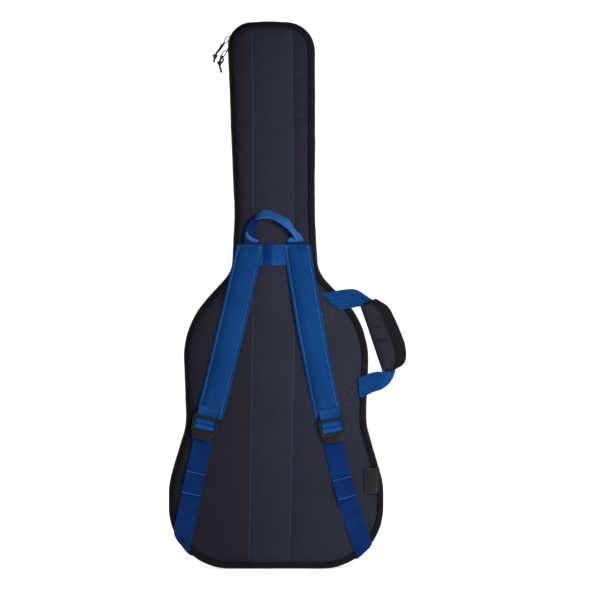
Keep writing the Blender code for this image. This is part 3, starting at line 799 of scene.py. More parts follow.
def backed(piece, depth):
    # the open edge goes straight back to one depth and is closed there by a flat face
    shape = bmesh.new()
    shape.from_mesh(piece.data)
    edge = bmesh.ops.extrude_edge_only(shape, edges=[e for e in shape.edges if e.is_boundary])
    for vert in (v for v in edge["geom"] if isinstance(v, bmesh.types.BMVert)):
        vert.co.y = depth
    bmesh.ops.edgeloop_fill(shape, edges=[e for e in shape.edges if e.is_boundary])
    bmesh.ops.recalc_face_normals(shape, faces=shape.faces)
    shape.to_mesh(piece.data)
    shape.free()
    return piece


def panelGrid(corners, inset, columns, rows, channels):
    # rows run between the two sides of an outline; columns gather at the edges and along each sewn channel
    line, inward = rim(corners, 2400)
    line = line + inward * inset
    low, high = line[:, 1].min() + 0.0003, line[:, 1].max() - 0.0003
    ends = 1 - np.cos(np.linspace(0, math.pi / 2, 16))
    z = np.concatenate([low + 0.05 * ends, np.linspace(low + 0.05, high - 0.03, rows)[1:-1],
                        high - 0.03 * ends[::-1]])
    middle = line[:, 0] < -0.011 * line[:, 1]
    sides = []
    for half in (line[middle], line[~middle]):
        order = half[np.argsort(half[:, 1])]
        sides.append(np.interp(z, order[:, 1], order[:, 0]))
    lines = [sides[0], *(np.interp(z, *np.transpose(channel)) for channel in channels), sides[1]]
    blocks = []
    for first, second, count in zip(lines, lines[1:], columns):
        t = np.linspace(0, 1, count + 1)[(1 if blocks else 0):]
        t = t - 0.72 * np.sin(2 * math.pi * t) / (2 * math.pi)
        blocks.append(first[:, None] + (second - first)[:, None] * t)
    x = np.hstack(blocks)
    z = np.broadcast_to(z[:, None], x.shape)
    coarse = evenly(line, 500, closed=True)
    away = np.sqrt(((x[..., None] - coarse[:, 0]) ** 2 + (z[..., None] - coarse[:, 1]) ** 2).min(-1))
    return x, z, away, np.cumsum([0, *columns])


def channelDistance(x, z):
    return np.min([np.abs(x - np.interp(z, *np.transpose(channel))) for channel in channels], axis=0)


def quilted(name, sign):
    # a padded panel facing -Y or +Y: its seam edges roll under, its channels are drawn in, and the cloth fills out
    x, z, away, sewnColumns = panelGrid(bag["corners"], bag["seamInset"], quilt["columns"], quilt["rows"], channels)
    near = channelDistance(x, z)
    rise = 1 - np.exp(-away / quilt["rollWide"])
    y = (quilt["face"] - quilt["rollDeep"] * (1 - rise)
         - quilt["seamDeep"] * np.exp(-(near / quilt["seamWide"]) ** 2))
    swell = quilt["puff"] * 0.35 * (1 - np.exp(-np.minimum(away, near) / quilt["fillWide"]))
    soft = 0.00035 * ripple(x * 46, z * 30, len(name), 9)
    piece = openGrid(name, np.stack([x, sign * (y + swell + soft * rise), z], -1), "panel")
    facing(piece, sign)
    held = np.zeros(x.shape, bool)
    held[[0, -1]] = True
    held[:, sewnColumns] = True
    inflate(piece, held, quilt["pressure"], quilt["puff"], quilt["slack"])

    def pucker(points):
        # short creases that run away from each stitch line, and long soft drag lines in the cloth
        across = channelDistance(points[:, 0], points[:, 2])
        gather = np.sin(points[:, 2] * 2 * math.pi / 0.0125 + 1.3 * ripple(points[:, 0] * 60, points[:, 2] * 60, 5))
        crease = 0.00022 * gather * np.exp(-across / 0.0050)
        drag = 0.00030 * ripple(points[:, 0] * 150 + points[:, 2] * 25, points[:, 2] * 40, 11, 9)
        points[:, 1] += sign * (crease + drag * smoothstep(0, 0.02, np.abs(points[:, 1]) - quilt["face"] + 0.02))
        return points

    refined(piece, pucker)
    return backed(piece, sign * quilt["back"])


def surfaceDepth(piece, sign):
    # how far out the cloth stands at any X and Z, from the nearest of its points
    points = np.empty(len(piece.data.vertices) * 3)
    piece.data.vertices.foreach_get("co", points)
    points = points.reshape(-1, 3)
    points = points[points[:, 1] * sign > 0.030]

    def depth(spots):
        spots = np.asarray(spots, float)
        gap = (spots[:, None, 0] - points[None, :, 0]) ** 2 + (spots[:, None, 1] - points[None, :, 2]) ** 2
        return points[gap.argmin(1), 1]

    return depth


def sewnChannels(name, body, sign, depth, low, count):
    # a row of thread down each channel, from the top to the height low, at the depths given for it
    heights = np.linspace(low, quilt["channelTop"], count)
    for side, channel in zip(("left", "right"), channels):
        line = np.column_stack([np.interp(heights, *np.transpose(channel)), heights])
        sewn(side + name, sideways(line, depth(line)), body, "panel_fabric", "channel", "thread", (0, sign, 0))


backPanel = quilted("backPanel", -1)
settle(backPanel, "back_half", "panel_fabric", "back_panel", "back_foam")
backDepth = surfaceDepth(backPanel, -1)
sewnChannels("ChannelStitches", "back_half", -1, lambda line: backDepth(line) + 0.00015, 0.0215, 560)
print("back panel ready")

backWall = around("backWall", ((0.0100, -0.0362), (0.0088, -0.0371), (0.0070, -0.0374), (0.0048, -0.0366),
                               (0.0028, -0.0347), (0.0012, -0.0318), (0.0003, -0.0280), (0, -0.0220), (0, -0.0140),
                               (0, -0.0060), (0, 0.0020), (0.0002, 0.0066), (0.0008, 0.0090), (0.0018, 0.0101),
                               (0.0034, 0.0106), (0.0060, 0.0104), (0.0116, 0.0098), (0.0120, 0.0040),
                               (0.0120, -0.0140), (0.0120, -0.0300), (0.0116, -0.0345)),
                  "wall", bag["corners"], sway=0.00035)
settle(backWall, "back_half", "binding", "back_gusset")

lidWall = around("lidWall", ((0.0100, 0.0362), (0.0088, 0.0371), (0.0070, 0.0374), (0.0048, 0.0366),
                             (0.0028, 0.0348), (0.0012, 0.0325), (0.0003, 0.0302), (0.0002, 0.0284),
                             (0.0008, 0.0268), (0.0018, 0.0258), (0.0034, 0.0254), (0.0060, 0.0256),
                             (0.0116, 0.0262), (0.0120, 0.0300), (0.0116, 0.0345)),
                 "wall", bag["corners"], sway=0.0003, seed=4)
settle(lidWall, "lid", "binding", "front_gusset")


seamLine, seamIn = rim(bag["corners"], 900)


def pipingOf(name, y, body, node):
    # cord in a bias-cut cover, a little uneven where the cover is eased round the corners
    turn = 2 * math.pi * np.arange(len(seamLine)) / len(seamLine)
    eased = 0.035 * np.sin(turn * 130) * (0.5 + 0.5 * np.sin(turn * 7)) + 0.03 * np.sin(turn * 37)
    cord = tube(name, sideways(seamLine + seamIn * bag["pipingInset"], y), bag["pipingRadius"] * (1 + eased), "wall",
                closed=True)
    settle(cord, body, "binding", node)


pipingOf("backPiping", -0.0379, "back_half", "back_piping")
pipingOf("lidPiping", 0.0379, "lid", "front_piping")

for name, y, body, out in (("backWallStitches", -0.0340, "back_half", -0.4), ("lidWallStitches", 0.0340, "lid", 0.4)):
    sewn(name, sideways(seamLine + seamIn * 0.0021, y), body, "binding", "wall", lift=sideways(-seamIn, out))


# ---- zip: tapes, interlocked coils and the cloth hinge at the left

# the coil's inset and pitch, half the length of the hinge, and how far from the hinge the coil stops
zipper = {"inset": 0.0040, "pitch": 0.0024, "hingeHalf": 0.055, "stop": 0.06, "tooth": (0.00085, 0.0014, 0.0011)}
for name, low, high, body, node in (("backTape", 0.0100, 0.0158, "back_half", "zip_tape_back"),
                                    ("lidTape", 0.0202, 0.0260, "lid", "zip_tape_front")):
    tape = around(name, ((0.0031, low), (0.0029, (low + high) / 2), (0.0031, high), (0.0046, high), (0.0050, low)),
                  "tape", bag["corners"])
    settle(tape, body, "zip_tape", node)


def stretchOfRim(start, end, inset, pitch):
    # points along the outline between two distances from its first point, with the way in from each
    line, inward = rim(bag["corners"], 4000)
    line = line + inward * inset
    along = lengths(np.vstack([line, line[:1]]))
    stops = np.arange(start, end, pitch) % along[-1]
    both = np.hstack([np.vstack([line, line[:1]]), np.vstack([inward, inward[:1]])])
    found = np.column_stack([np.interp(stops, along, both[:, k]) for k in range(4)])
    return found[:, :2], unit(found[:, 2:])


outline = rounded(bag["corners"])
rimLength = lengths(np.vstack([outline, outline[:1]]))[-1]
for name, y, shift, body, node in (("backCoil", 0.0172, 0.0, "back_half", "zip_coil_back"),
                                   ("lidCoil", 0.0188, 0.5, "lid", "zip_coil_front")):
    spots, inward = stretchOfRim(zipper["hingeHalf"] + shift * zipper["pitch"], rimLength - zipper["stop"],
                                 zipper["inset"], zipper["pitch"])
    travel = unit(np.gradient(spots, axis=0))
    axes = np.stack([sideways(travel, 0), np.broadcast_to([0.0, 1.0, 0.0], (len(spots), 3)), sideways(inward, 0)], 1)
    teeth = repeat(name, pebble(zipper["tooth"], 4, 0.8), sideways(spots, y), axes, "coil")
    settle(teeth, body, "zip_coil", node)

hingeSpots, inward = stretchOfRim(-zipper["hingeHalf"] + 0.002, zipper["hingeHalf"] - 0.002, 0.0026, 0.003)
hingeCloth = sweep("hingeCloth", sideways(hingeSpots, zipPlane), (0, 1, 0), roundSection(0.0140, 0.0011, 20), "wall")
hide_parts("hinge_strip")
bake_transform(hingeCloth)
print("walls, piping and zip ready")


# ---- shoulder straps: padded part, fold, buckle and lower webbing

straps = {
    "left": {"pad": ((-0.0490, 0.629), (-0.0860, 0.470), (-0.1265, 0.304)), "end": 0.0095, "shift": -0.0050,
             "hinge": (-0.05883, 0.586), "webbing": ((-0.1395, 0.2560), (-0.1645, 0.1420), (-0.1905, 0.0170)),
             "hem": (0.193, 0.141), "foot": (-0.181, 0.062)},
    "right": {"pad": ((0.0400, 0.629), (0.0670, 0.466), (0.1000, 0.300)), "end": 0.0035, "shift": 0.0028,
              "hinge": (0.04651, 0.586), "webbing": ((0.1110, 0.2500), (0.1390, 0.1330), (0.1830, 0.0060)),
              "hem": (0.182, 0.135), "foot": (0.162, 0.056)},
    "base": 0.0417, "stitchAt": 0.0203, "crown": 0.0088, "barDrop": 0.0072, "barOut": 0.0482,
    "webHalf": 0.0190, "webThick": 0.0017,
}


def parabola(three, count):
    # passes the first point at 0, the middle one at a half and the last at 1
    a, b, c = np.asarray(three, float)
    t = np.linspace(0, 1, count)[:, None]
    return a * (1 - t) * (1 - 2 * t) + b * 4 * t * (1 - t) + c * t * (2 * t - 1)


def frameOf(path):
    # the way a flat line runs, and across it
    travel = unit(np.gradient(path, axis=0))
    return travel, np.column_stack([-travel[:, 1], travel[:, 0]])


def strapPad(side, plan):
    # section: rolled binding at each edge, a stitched groove inside it, and a crowned pad between the grooves
    path = parabola(plan["pad"], 150)
    travel, across = frameOf(path)
    path = np.vstack([path, path[-1] + travel[-1] * np.linspace(0.1, 1, 4)[:, None] * plan["end"]])
    path = evenly(path, 190)
    travel, across = frameOf(path)
    run = lengths(path)[:, None]
    groove = straps["stitchAt"]
    edge = np.array([0.0262, 0.0257, 0.0245, 0.0228, 0.0214, 0.0207, 0.0203, 0.0199, 0.0192, 0.0175, 0.0150, 0.0115,
                     0.0075, 0.0035, 0.0])
    over = np.concatenate([edge, -edge[-2::-1]])[None]
    size = np.abs(over)
    bind = 0.0034 * np.sqrt(np.clip(1 - ((size - 0.0234) / 0.0029) ** 2, 0.02, 1))
    crown = 0.0030 + (straps["crown"] - 0.0030) * (1 - np.clip(size / groove, 0, 1) ** 3.2)
    ends = 0.18 + 0.82 * smoothstep(0.0, 0.016, run) * smoothstep(0.0, 0.030, run[-1] - run)
    body = 0.0030 + (crown - 0.0030) * ends
    height = np.where(size > groove, bind + 0 * run, body)
    height = height - 0.0011 * np.exp(-((size - groove) / 0.0010) ** 2)
    fromEnd = run[-1] - run
    pressed = (0.55 + 0.45 * smoothstep(0.001, 0.018, run)) * (0.50 + 0.50 * smoothstep(0.002, 0.015, fromEnd))
    height = height * pressed - 0.0013 * np.exp(-((fromEnd - 0.0150) / 0.0016) ** 2)
    inside = size < groove
    seed = 3 if side == "left" else 8
    height = height + inside * ends * 0.00055 * ripple(over * 90, run * 55, seed, 9)
    pucker = np.sin(run * 2 * math.pi / 0.0094 + 2 * ripple(over * 60, run * 60, seed))
    height = height + 0.00025 * pucker * np.exp(-np.abs(size - groove) / 0.0035) * ends
    height = np.maximum(height, 0.0016)
    under = np.linspace(-0.0256, 0.0256, 11)[None]
    v = np.hstack([np.broadcast_to(over, height.shape), np.broadcast_to(under, (len(path), 11))])
    h = np.hstack([height, np.zeros((len(path), 11))])
    # the sewn top is cut level, so each line of cloth starts at the same height and eases into the strap's slant
    cut, eased = across[:, 1:] / travel[:, 1:], -(1 - smoothstep(0.0, 0.055, run))
    level = cut * v * eased
    flat = path[:, None] + across[:, None] * v[..., None] + travel[:, None] * level[..., None]
    rings = np.stack([flat[..., 0], -(straps["base"] + h), flat[..., 1]], -1)
    pad = loft(side + "StrapPad", rings, "pad", across=v[0])
    held = np.hstack([(size >= groove - 0.0001) + 0 * run > 0, np.ones((len(path), 11), bool)])
    held[:3] = held[-5:] = True
    inflate(pad, held, 4.0, 0.0012)
    # a row of stitches down each groove, one across the top and one across the end
    rows = []
    for v1 in (groove + 0.0004, -(groove + 0.0004)):
        line = (path + across * v1 + travel * (cut * v1 * eased))[3:-2]
        rows.append(sideways(line, -(straps["base"] + 0.0026)))
    span = np.linspace(-groove, groove, 20)
    top, end = 4, len(path) - 8
    rows.append(sideways(path[top] + across[top] * span[:, None] + travel[top] * (cut[top] * -span)[:, None],
                         -(straps["base"] + 0.0030)))
    rows.append(sideways(path[end] + across[end] * span[:, None], -(straps["base"] + 0.0030)))
    made = [pad] + [stitches(f"{side}PadStitches{k + 1}", row, (0, -1, 0), "paleThread", *seams["pad"])
                    for k, row in enumerate(rows)]
    x, z = plan["hinge"]
    toward = travel[30]
    for piece in made:
        x - toward[0] * 0.016
        z - toward[1] * 0.016
        x + toward[0] * 0.020
        z + toward[1] * 0.020
        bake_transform(piece)
    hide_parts(side + "_pad", side + "_strap_tab")


def barFrame(plan):
    # the buckle's own axes: down the strap, across it, and the middle of its top bar
    pad = np.asarray(plan["pad"])
    down = unit(pad[2] - pad[1])
    return pad[2] + down * straps["barDrop"], down, np.array([-down[1], down[0]])


def acrossBuckle(plan):
    side = barFrame(plan)[2]
    return np.array([side[0], 0, side[1]])


def inBuckle(plan, along, out, across=0.0):
    # points given down the strap and out from the bag, made into positions
    bar, down, side = barFrame(plan)
    along, out, across = np.broadcast_arrays(along, out, across)
    flat = bar + down * along[..., None] + side * (across + plan["shift"])[..., None]
    return np.stack([flat[..., 0], -out, flat[..., 1]], -1)


def foldedLoop(side, plan):
    # webbing sewn to the pad's face, taken over the hinge pin and back beneath it
    out = straps["barOut"]
    turn = np.linspace(math.pi / 2, -math.pi / 2, 14)
    along = np.concatenate([[-0.0175, -0.0120, -0.0075, -0.0040, -0.0015], 0.0029 * np.cos(turn),
                            [-0.003, -0.007, -0.011]])
    depth = np.concatenate([[out - 0.0004, out + 0.0006, out + 0.0012, out + 0.0020, out + 0.0026],
                            out + 0.0029 * np.sin(turn),
                            [out - 0.0030, out - 0.0030, out - 0.0029]])
    path = smoothLine(inBuckle(plan, along, depth), 70)
    loop = sweep(side + "FoldedLoop", path, acrossBuckle(plan), roundSection(0.0380, 0.0015, 36), "webbing")
    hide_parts(side + "_end_loop")
    start, end = inBuckle(plan, np.array([-0.0100, -0.0004]), np.full(2, out))
    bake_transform(loop)
    seam = inBuckle(plan, np.full(16, -0.0115), np.full(16, out + 0.0015), np.linspace(-0.0165, 0.0165, 16))
    sewn(side + "LoopStitches", seam, side + "_strap", "webbing", "webbing")


def fused(name, parts, voxel, finish, ease):
    # closed shapes joined into one skin and its steps relaxed
    bpy.ops.object.select_all(action="DESELECT")
    for part in parts:
        part.select_set(True)
    bpy.context.view_layer.objects.active = parts[0]
    bpy.ops.object.join()
    whole = parts[0]
    whole.name = whole.data.name = name
    remesh = whole.modifiers.new("Remesh", "REMESH")
    remesh.mode, remesh.voxel_size = "VOXEL", voxel
    relax = whole.modifiers.new("Smooth", "SMOOTH")
    relax.factor, relax.iterations = 0.5, ease
    made = bpy.data.meshes.new_from_object(whole.evaluated_get(bpy.context.evaluated_depsgraph_get()))
    whole.modifiers.clear()
    whole.data = made
    made.polygons.foreach_set("use_smooth", np.ones(len(made.polygons), bool))
    made.materials.clear()
    made.materials.append(finishes[finish].material)
    return whole


def rod(plan, points, sizes):
    # a rounded bar between points given down, out and across; sizes are its width down the strap and its thickness
    points = np.asarray(points, float)
    path = inBuckle(plan, points[:, 0], points[:, 1], points[:, 2])
    path = evenly(path, 24)
    side = np.cross(unit(path[-1] - path[0]), [0, 1, 0])
    return sweep("rod", path, side, roundSection(sizes[0], sizes[1], 20, 0.6), "plastic")


def ladderLock(side, plan):
    out, reach = straps["barOut"], 0.0217
    flat = ((0, out, 0.0036, 0.0030), (0.0035, out + 0.0053, 0.0046, 0.0023), (0.0115, out - 0.0008, 0.0040, 0.0026),
            (0.0232, out - 0.0010, 0.0036, 0.0024), (0.0312, out + 0.0004, 0.0052, 0.0044))
    parts = [rod(plan, ((along, depth, -reach - 0.0004), (along, depth, reach + 0.0004)), (wide, thick))
             for along, depth, wide, thick in flat]
    for sign in (-1, 1):
        parts.append(rod(plan, ((0.0006, out + 0.0028, sign * reach), (0.0160, out + 0.0014, sign * (reach + 0.0008)),
                                (0.0325, out + 0.0004, sign * (reach - 0.0008))), (0.0045, 0.0052)))
    # the tongue: a plate that narrows in a shallow curve and lifts away from the bag towards its lip
    t = np.linspace(0, 1, 26)
    halfWidth = 0.0230 * np.sqrt(np.clip(1 - (t * 0.93) ** 2.3, 0, 1))
    centre = inBuckle(plan, 0.0300 + 0.0185 * t, out + 0.0006 + 0.0016 * t * t)
    section = roundSection(2.0, 2.0, 28, 0.75)
    thick = 0.0021 * (1 - 0.25 * t) + 0.0006 * np.exp(-((t - 1) / 0.08) ** 2)
    parts.append(sweep("rod", centre, acrossBuckle(plan), section, "plastic",
                       scale=np.column_stack([halfWidth, thick])))
    # grip ribs across the tongue
    for k in range(3):
        along, depth, width = 0.0365 + 0.0032 * k, out + 0.0030 + 0.0002 * k, 0.0150 - 0.0030 * k
        parts.append(rod(plan, ((along, depth, -width), (along, depth, width)), (0.0011, 0.0012)))
    buckle = fused(side + "LadderLock", parts, 0.00052, "plastic", 4)
    settle(buckle, side + "_adjuster", "buckle_plastic", side + "_buckle")


def threadedWebbing(side, plan):
    # comes up behind the tongue, over the first inner bar, dips, crosses the second and goes down behind the tongue
    out = straps["barOut"]
    along = [0.0480, 0.0420, 0.0330, 0.0240, 0.0150, 0.0095, 0.0072, 0.0078, 0.0105, 0.0150, 0.0170, 0.0182, 0.0194,
             0.0215, 0.0255, 0.0278, 0.0292]
    depth = [-0.0044, -0.0044, -0.0046, -0.0044, -0.0038, -0.0030, -0.0008, 0.0014, 0.0028, 0.0026, 0.0008, -0.0012,
             0.0006, 0.0022, 0.0019,
             -0.0002, -0.0022]
    path = smoothLine(inBuckle(plan, np.array(along), out + np.array(depth)), 150)
    turn = sweep(side + "ThreadedWebbing", path, acrossBuckle(plan), roundSection(0.0380, 0.0015, 36), "webbing")
    settle(turn, side + "_adjuster", "webbing", side + "_webbing_turn")


def overEdge(spots, lift, skin):
    # cloth that reaches the bag's edge turns down over its shoulder along a quarter circle, then follows the wall
    line, inward = rim(bag["corners"], 1400)
    near = ((spots[..., None, 0] - line[:, 0]) ** 2 + (spots[..., None, 1] - line[:, 1]) ** 2).argmin(-1)
    away = ((spots - line[near]) * inward[near]).sum(-1)
    start, radius = 0.0080, 0.0090
    past = np.maximum(start - away, 0)
    turn = np.minimum(past / radius, math.pi / 2)
    beyond = np.maximum(past - radius * math.pi / 2, 0)
    reach = radius + skin
    inset = np.where(past > 0, start - reach * np.sin(turn), away)
    height = lift - radius + reach * np.cos(turn) - beyond
    return spots + inward[near] * (inset - away)[..., None], np.where(past > 0, height, lift + skin)


def lowerWebbing(side, plan):
    # a long flat run with slack rolls in it, a doubled hem part way down, and its foot sewn under the piping
    path = evenly(parabola(plan["webbing"], 200), 200)
    travel, across = frameOf(path)
    run = lengths(path)
    total = run[-1]
    seed = 2 if side == "left" else 6
    slack = 0.0013 * np.sin(run * 2 * math.pi / 0.083 + seed) + 0.0006 * np.sin(run * 2 * math.pi / 0.037 + 2 * seed)
    lift = 0.0436 + slack * smoothstep(0, 0.03, run) * smoothstep(0, 0.03, total - run)
    lift = lift - 0.0032 * smoothstep(total - 0.075, total - 0.035, run)
    hemTop, hemEnd = (np.interp(-z, -path[:, 1], run) for z in plan["hem"])
    fold = np.exp(-((run - hemTop) / 0.0022) ** 2) + 0.8 * np.exp(-((run - hemEnd) / 0.0026) ** 2)
    lift = lift + 0.0006 * fold
    section = roundSection(2 * straps["webHalf"], straps["webThick"], 40)
    crown = 0.0007 * ripple(section[None, :, 0] * 120, run[:, None] * 45, seed)
    flat = path[:, None] + across[:, None] * section[None, :, :1]
    flat, height = overEdge(flat, lift[:, None] + crown, section[None, :, 1])
    rings = np.stack([flat[..., 0], -height, flat[..., 1]], -1)
    # painted shade: this run and its hem take the darker shaded copy of the blue webbing, while the same strap
    # threaded through the buckle takes the plain one
    web = loft(side + "LowerWebbing", rings, "shadedWebbing", along=run, across=section[:, 0])
    inside = (run > hemTop) & (run < hemEnd)
    hem = sweep(side + "WebbingHem", sideways(path[inside], -(lift[inside] + 0.0019)), sideways(across, 0)[inside],
                roundSection(0.0384, 0.0016, 36), "shadedWebbing")
    made = [web, hem]
    for k, index in enumerate((np.flatnonzero(inside)[4], np.flatnonzero(inside)[-5])):
        line = path[index] + across[index] * np.linspace(-0.0168, 0.0168, 16)[:, None]
        made.append(stitches(f"{side}HemStitches{k + 1}", sideways(line, -(lift[index] + 0.0029)), (0, -1, 0),
                             "paleThread", *seams["hem"]))
    x, z = plan["foot"]
    down = travel[-20]
    for piece in made:
        x + down[0] * 0.006
        z + down[1] * 0.006
        x - down[0] * 0.014
        z - down[1] * 0.014
        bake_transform(piece)
    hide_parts(side + "_webbing", side + "_anchor")
    # two rows of stitching hold the foot to the panel's edge
    outward = (-0.7 if side == "left" else 0.7, -0.4, -0.4)
    for k, back in enumerate((6, 12)):
        line = path[-back] + across[-back] * np.linspace(-0.0165, 0.0165, 16)[:, None]
        line, height = overEdge(line, np.full(16, lift[-back]), np.full(16, 0.0009))
        sewn(f"{side}FootStitches{k + 1}", sideways(line, -height), "back_half", "webbing", "foot", lift=outward)


for side in ("left", "right"):
    plan = straps[side]
    strapPad(side, plan)
    foldedLoop(side, plan)
    ladderLock(side, plan)
    threadedWebbing(side, plan)
    lowerWebbing(side, plan)
    print(side, "strap ready")


# ---- across the back: yoke webbing, hanging loop and tag

yoke = {"low": 0.5880, "high": 0.6285, "left": -0.0360, "right": 0.0240, "out": 0.0418}
t = np.linspace(0, 1, 60)
# it bows out between its seams, with one crease that stands out and one drawn in
yokeOut = (yoke["out"] + 0.0008 + 0.0016 * np.sin(math.pi * t) ** 2 + 0.0012 * np.exp(-((t - 0.50) / 0.07) ** 2)
           - 0.0012 * np.exp(-((t - 0.38) / 0.06) ** 2))
yokePath = np.column_stack([yoke["left"] + (yoke["right"] - yoke["left"]) * t, -yokeOut,
                            np.full(60, (yoke["low"] + yoke["high"]) / 2)])
yokeWeb = sweep("yokeWebbing", yokePath, (0, 0, 1), roundSection(yoke["high"] - yoke["low"], 0.0018, 44), "webbing")
settle(yokeWeb, "back_half", "webbing", "yoke_webbing")
# the left part of the yoke is folded over itself: one edge follows the strap, the other slants back
t = np.linspace(0, 1, 40)
foldPath = np.column_stack([-0.0246 + 0.0130 * t, -(yoke["out"] + 0.0024 + 0.0008 * np.sin(math.pi * t)),
                            np.full(40, 0.6080)])
slant = unit(np.column_stack([0.237 - 0.481 * t, np.zeros(40), np.ones(40)]))
# painted shade: the folded-over part takes the darker shaded copy of the blue webbing
yokeFold = sweep("yokeFold", foldPath, slant, roundSection(0.0400, 0.0014, 40), "shadedWebbing")
settle(yokeFold, "back_half", "webbing")
for k, height in enumerate((0.5905, 0.6258)):
    line = sideways(np.column_stack([np.linspace(-0.008, 0.016, 14), np.full(14, height)]), -(yoke["out"] + 0.0040))
    sewn(f"yokeStitches{k + 1}", line, "back_half", "webbing", "webbing")

loopPlan = {
    # each run: middle in X and Z, how far out, how much of its face is turned away from the back, its width
    "leg": ((-0.0490, 0.6305, 0.0432, 0, 0.0270), (-0.0510, 0.6400, 0.0435, 0, 0.0220),
            (-0.0505, 0.6510, 0.0446, 0, 0.0195), (-0.0465, 0.6630, 0.0458, 0.10, 0.0180),
            (-0.0405, 0.6735, 0.0466, 0.25, 0.0150), (-0.0360, 0.6790, 0.0468, 0.5, 0.0110)),
    "band": ((-0.0400, 0.6785, 0.0486, 1.30, 0.0200), (-0.0300, 0.6845, 0.0490, 0.95, 0.0225),
             (-0.0175, 0.6870, 0.0494, 0.75, 0.0230), (-0.0020, 0.6820, 0.0496, 0.90, 0.0225),
             (0.0190, 0.6700, 0.0496, 0.82, 0.0225), (0.0340, 0.6530, 0.0482, 1.05, 0.0200),
             (0.0430, 0.6420, 0.0450, 0.60, 0.0180), (0.0440, 0.6330, 0.0436, 0.05, 0.0200)),
    "leftCorner": ((-0.0568, 0.6530, 0.0452, 0, 0.0030), (-0.0545, 0.6445, 0.0454, 0.1, 0.0070),
                   (-0.0470, 0.6385, 0.0454, 0.1, 0.0076), (-0.0340, 0.6348, 0.0448, 0, 0.0046)),
    "rightCorner": ((0.0225, 0.6345, 0.0448, 0, 0.0036), (0.0290, 0.6375, 0.0454, 0.1, 0.0082),
                    (0.0350, 0.6385, 0.0454, 0.1, 0.0080), (0.0410, 0.6365, 0.0452, 0, 0.0056)),
    "leftBar": ((-0.0620, 0.6326, 0.0444, 0, 0.0050), (-0.0485, 0.6332, 0.0446, 0, 0.0054),
                (-0.0330, 0.6322, 0.0444, 0, 0.0048)),
    "rightBar": ((0.0225, 0.6318, 0.0444, 0, 0.0046), (0.0380, 0.6324, 0.0446, 0, 0.0052),
                 (0.0540, 0.6318, 0.0444, 0, 0.0046)),
}


def loopRun(name, finish):
    # webbing along one run, turned and narrowed as its plan says
    spine = np.array(loopPlan[name])
    spine = evenly(smoothLine(spine, 300), 40 if "Bar" in name else 110)
    path = np.column_stack([spine[:, 0], -spine[:, 2], spine[:, 1]])
    outward = unit(np.cross(unit(np.gradient(path, axis=0)), (0, 1, 0)))
    face = outward * np.cos(spine[:, 3:4]) + np.array([0, 1.0, 0]) * np.sin(spine[:, 3:4])
    return sweep("hangingLoop" + name[0].upper() + name[1:], path, face, roundSection(1.0, 1.0, 36), finish,
                 scale=np.column_stack([spine[:, 4], np.full(len(spine), 0.0019)]))


# painted light and shade: the loop's arch and corners take the lighter lit copy of the blue webbing, its leg and
# sewn-down bars the darker shaded copy
settle(loopRun("band", "litWebbing"), "hang_loop", "webbing", "hang_loop")
for name, finish in (("leg", "shadedWebbing"), ("leftCorner", "litWebbing"), ("rightCorner", "litWebbing"),
                     ("leftBar", "shadedWebbing"), ("rightBar", "shadedWebbing")):
    settle(loopRun(name, finish), "hang_loop", "webbing")
for name, x in (("left", -0.0475), ("right", 0.0385)):
    line = sideways(np.column_stack([np.linspace(x - 0.0125, x + 0.0125, 14), np.full(14, 0.6326)]), -0.0458)
    sewn(name + "LoopBarTack", line, "hang_loop", "webbing", "barTack")

tagPlan = {
    "left": 0.1700, "low": 0.1470, "wide": 0.0300, "tall": 0.0495, "out": 0.0424, "thick": 0.0007, "slant": 0.0010,
    "border": ((0.1722, 0.1492), (0.1722, 0.1945), (0.1940, 0.1952), (0.1940, 0.1497), (0.1722, 0.1492)),
}


def tagBow(s):
    # how far out the tag stands: it bows, and its right edge turns down over the bag's shoulder
    return tagPlan["out"] + 0.0012 * np.sin(s * math.pi * 0.9) - 0.0030 * smoothstep(0.72, 1.0, s)


s, q = np.meshgrid(np.linspace(0, 1, 26), np.linspace(0, 1, 26), indexing="ij")
tagX = tagPlan["left"] + tagPlan["wide"] * s
tagZ = tagPlan["low"] + tagPlan["tall"] * q + tagPlan["slant"] * s
tagY = tagBow(s) + 0.0006 * np.sin(q * 5 + s * 3)
tag = openGrid("wovenTag", np.stack([tagX, -tagY, tagZ], -1), "tag")
facing(tag, -1)
thicken = tag.modifiers.new("Solidify", "SOLIDIFY")
thicken.thickness, thicken.offset = tagPlan["thick"], -1
settle(tag, "back_half", "label_fabric", "label")
border = evenly(np.array(tagPlan["border"]), 60)
borderOut = tagBow((border[:, 0] - tagPlan["left"]) / tagPlan["wide"]) + tagPlan["thick"]
sewn("tagStitches", sideways(border, -borderOut), "back_half", "label_fabric", "tag")


# ---- side handle

handle = {
    "upper": ((0.1040, 0.5180), (0.1180, 0.5205), (0.1349, 0.5232), (0.1505, 0.5240), (0.1650, 0.5205),
              (0.1810, 0.5110)),
    "lower": ((0.1600, 0.3510), (0.1700, 0.3550), (0.1826, 0.3607), (0.1992, 0.3660), (0.2125, 0.3735),
              (0.2205, 0.3900)),
    "inner": ((0.1610, 0.5125), (0.1660, 0.4990), (0.1745, 0.4750), (0.1812, 0.4550), (0.1880, 0.4345),
              (0.1952, 0.4130),
              (0.2003, 0.3980), (0.2060, 0.3815)),
    "outer": ((0.1930, 0.5240), (0.2165, 0.5085), (0.2295, 0.4850), (0.2392, 0.4630), (0.2482, 0.4390),
              (0.2515, 0.4150),
              (0.2465, 0.3975), (0.2270, 0.3845)),
    "out": 0.0430, "web": 0.0370, "padShare": 0.635, "deep": 0.0094, "creases": (0.36, 0.56),
}


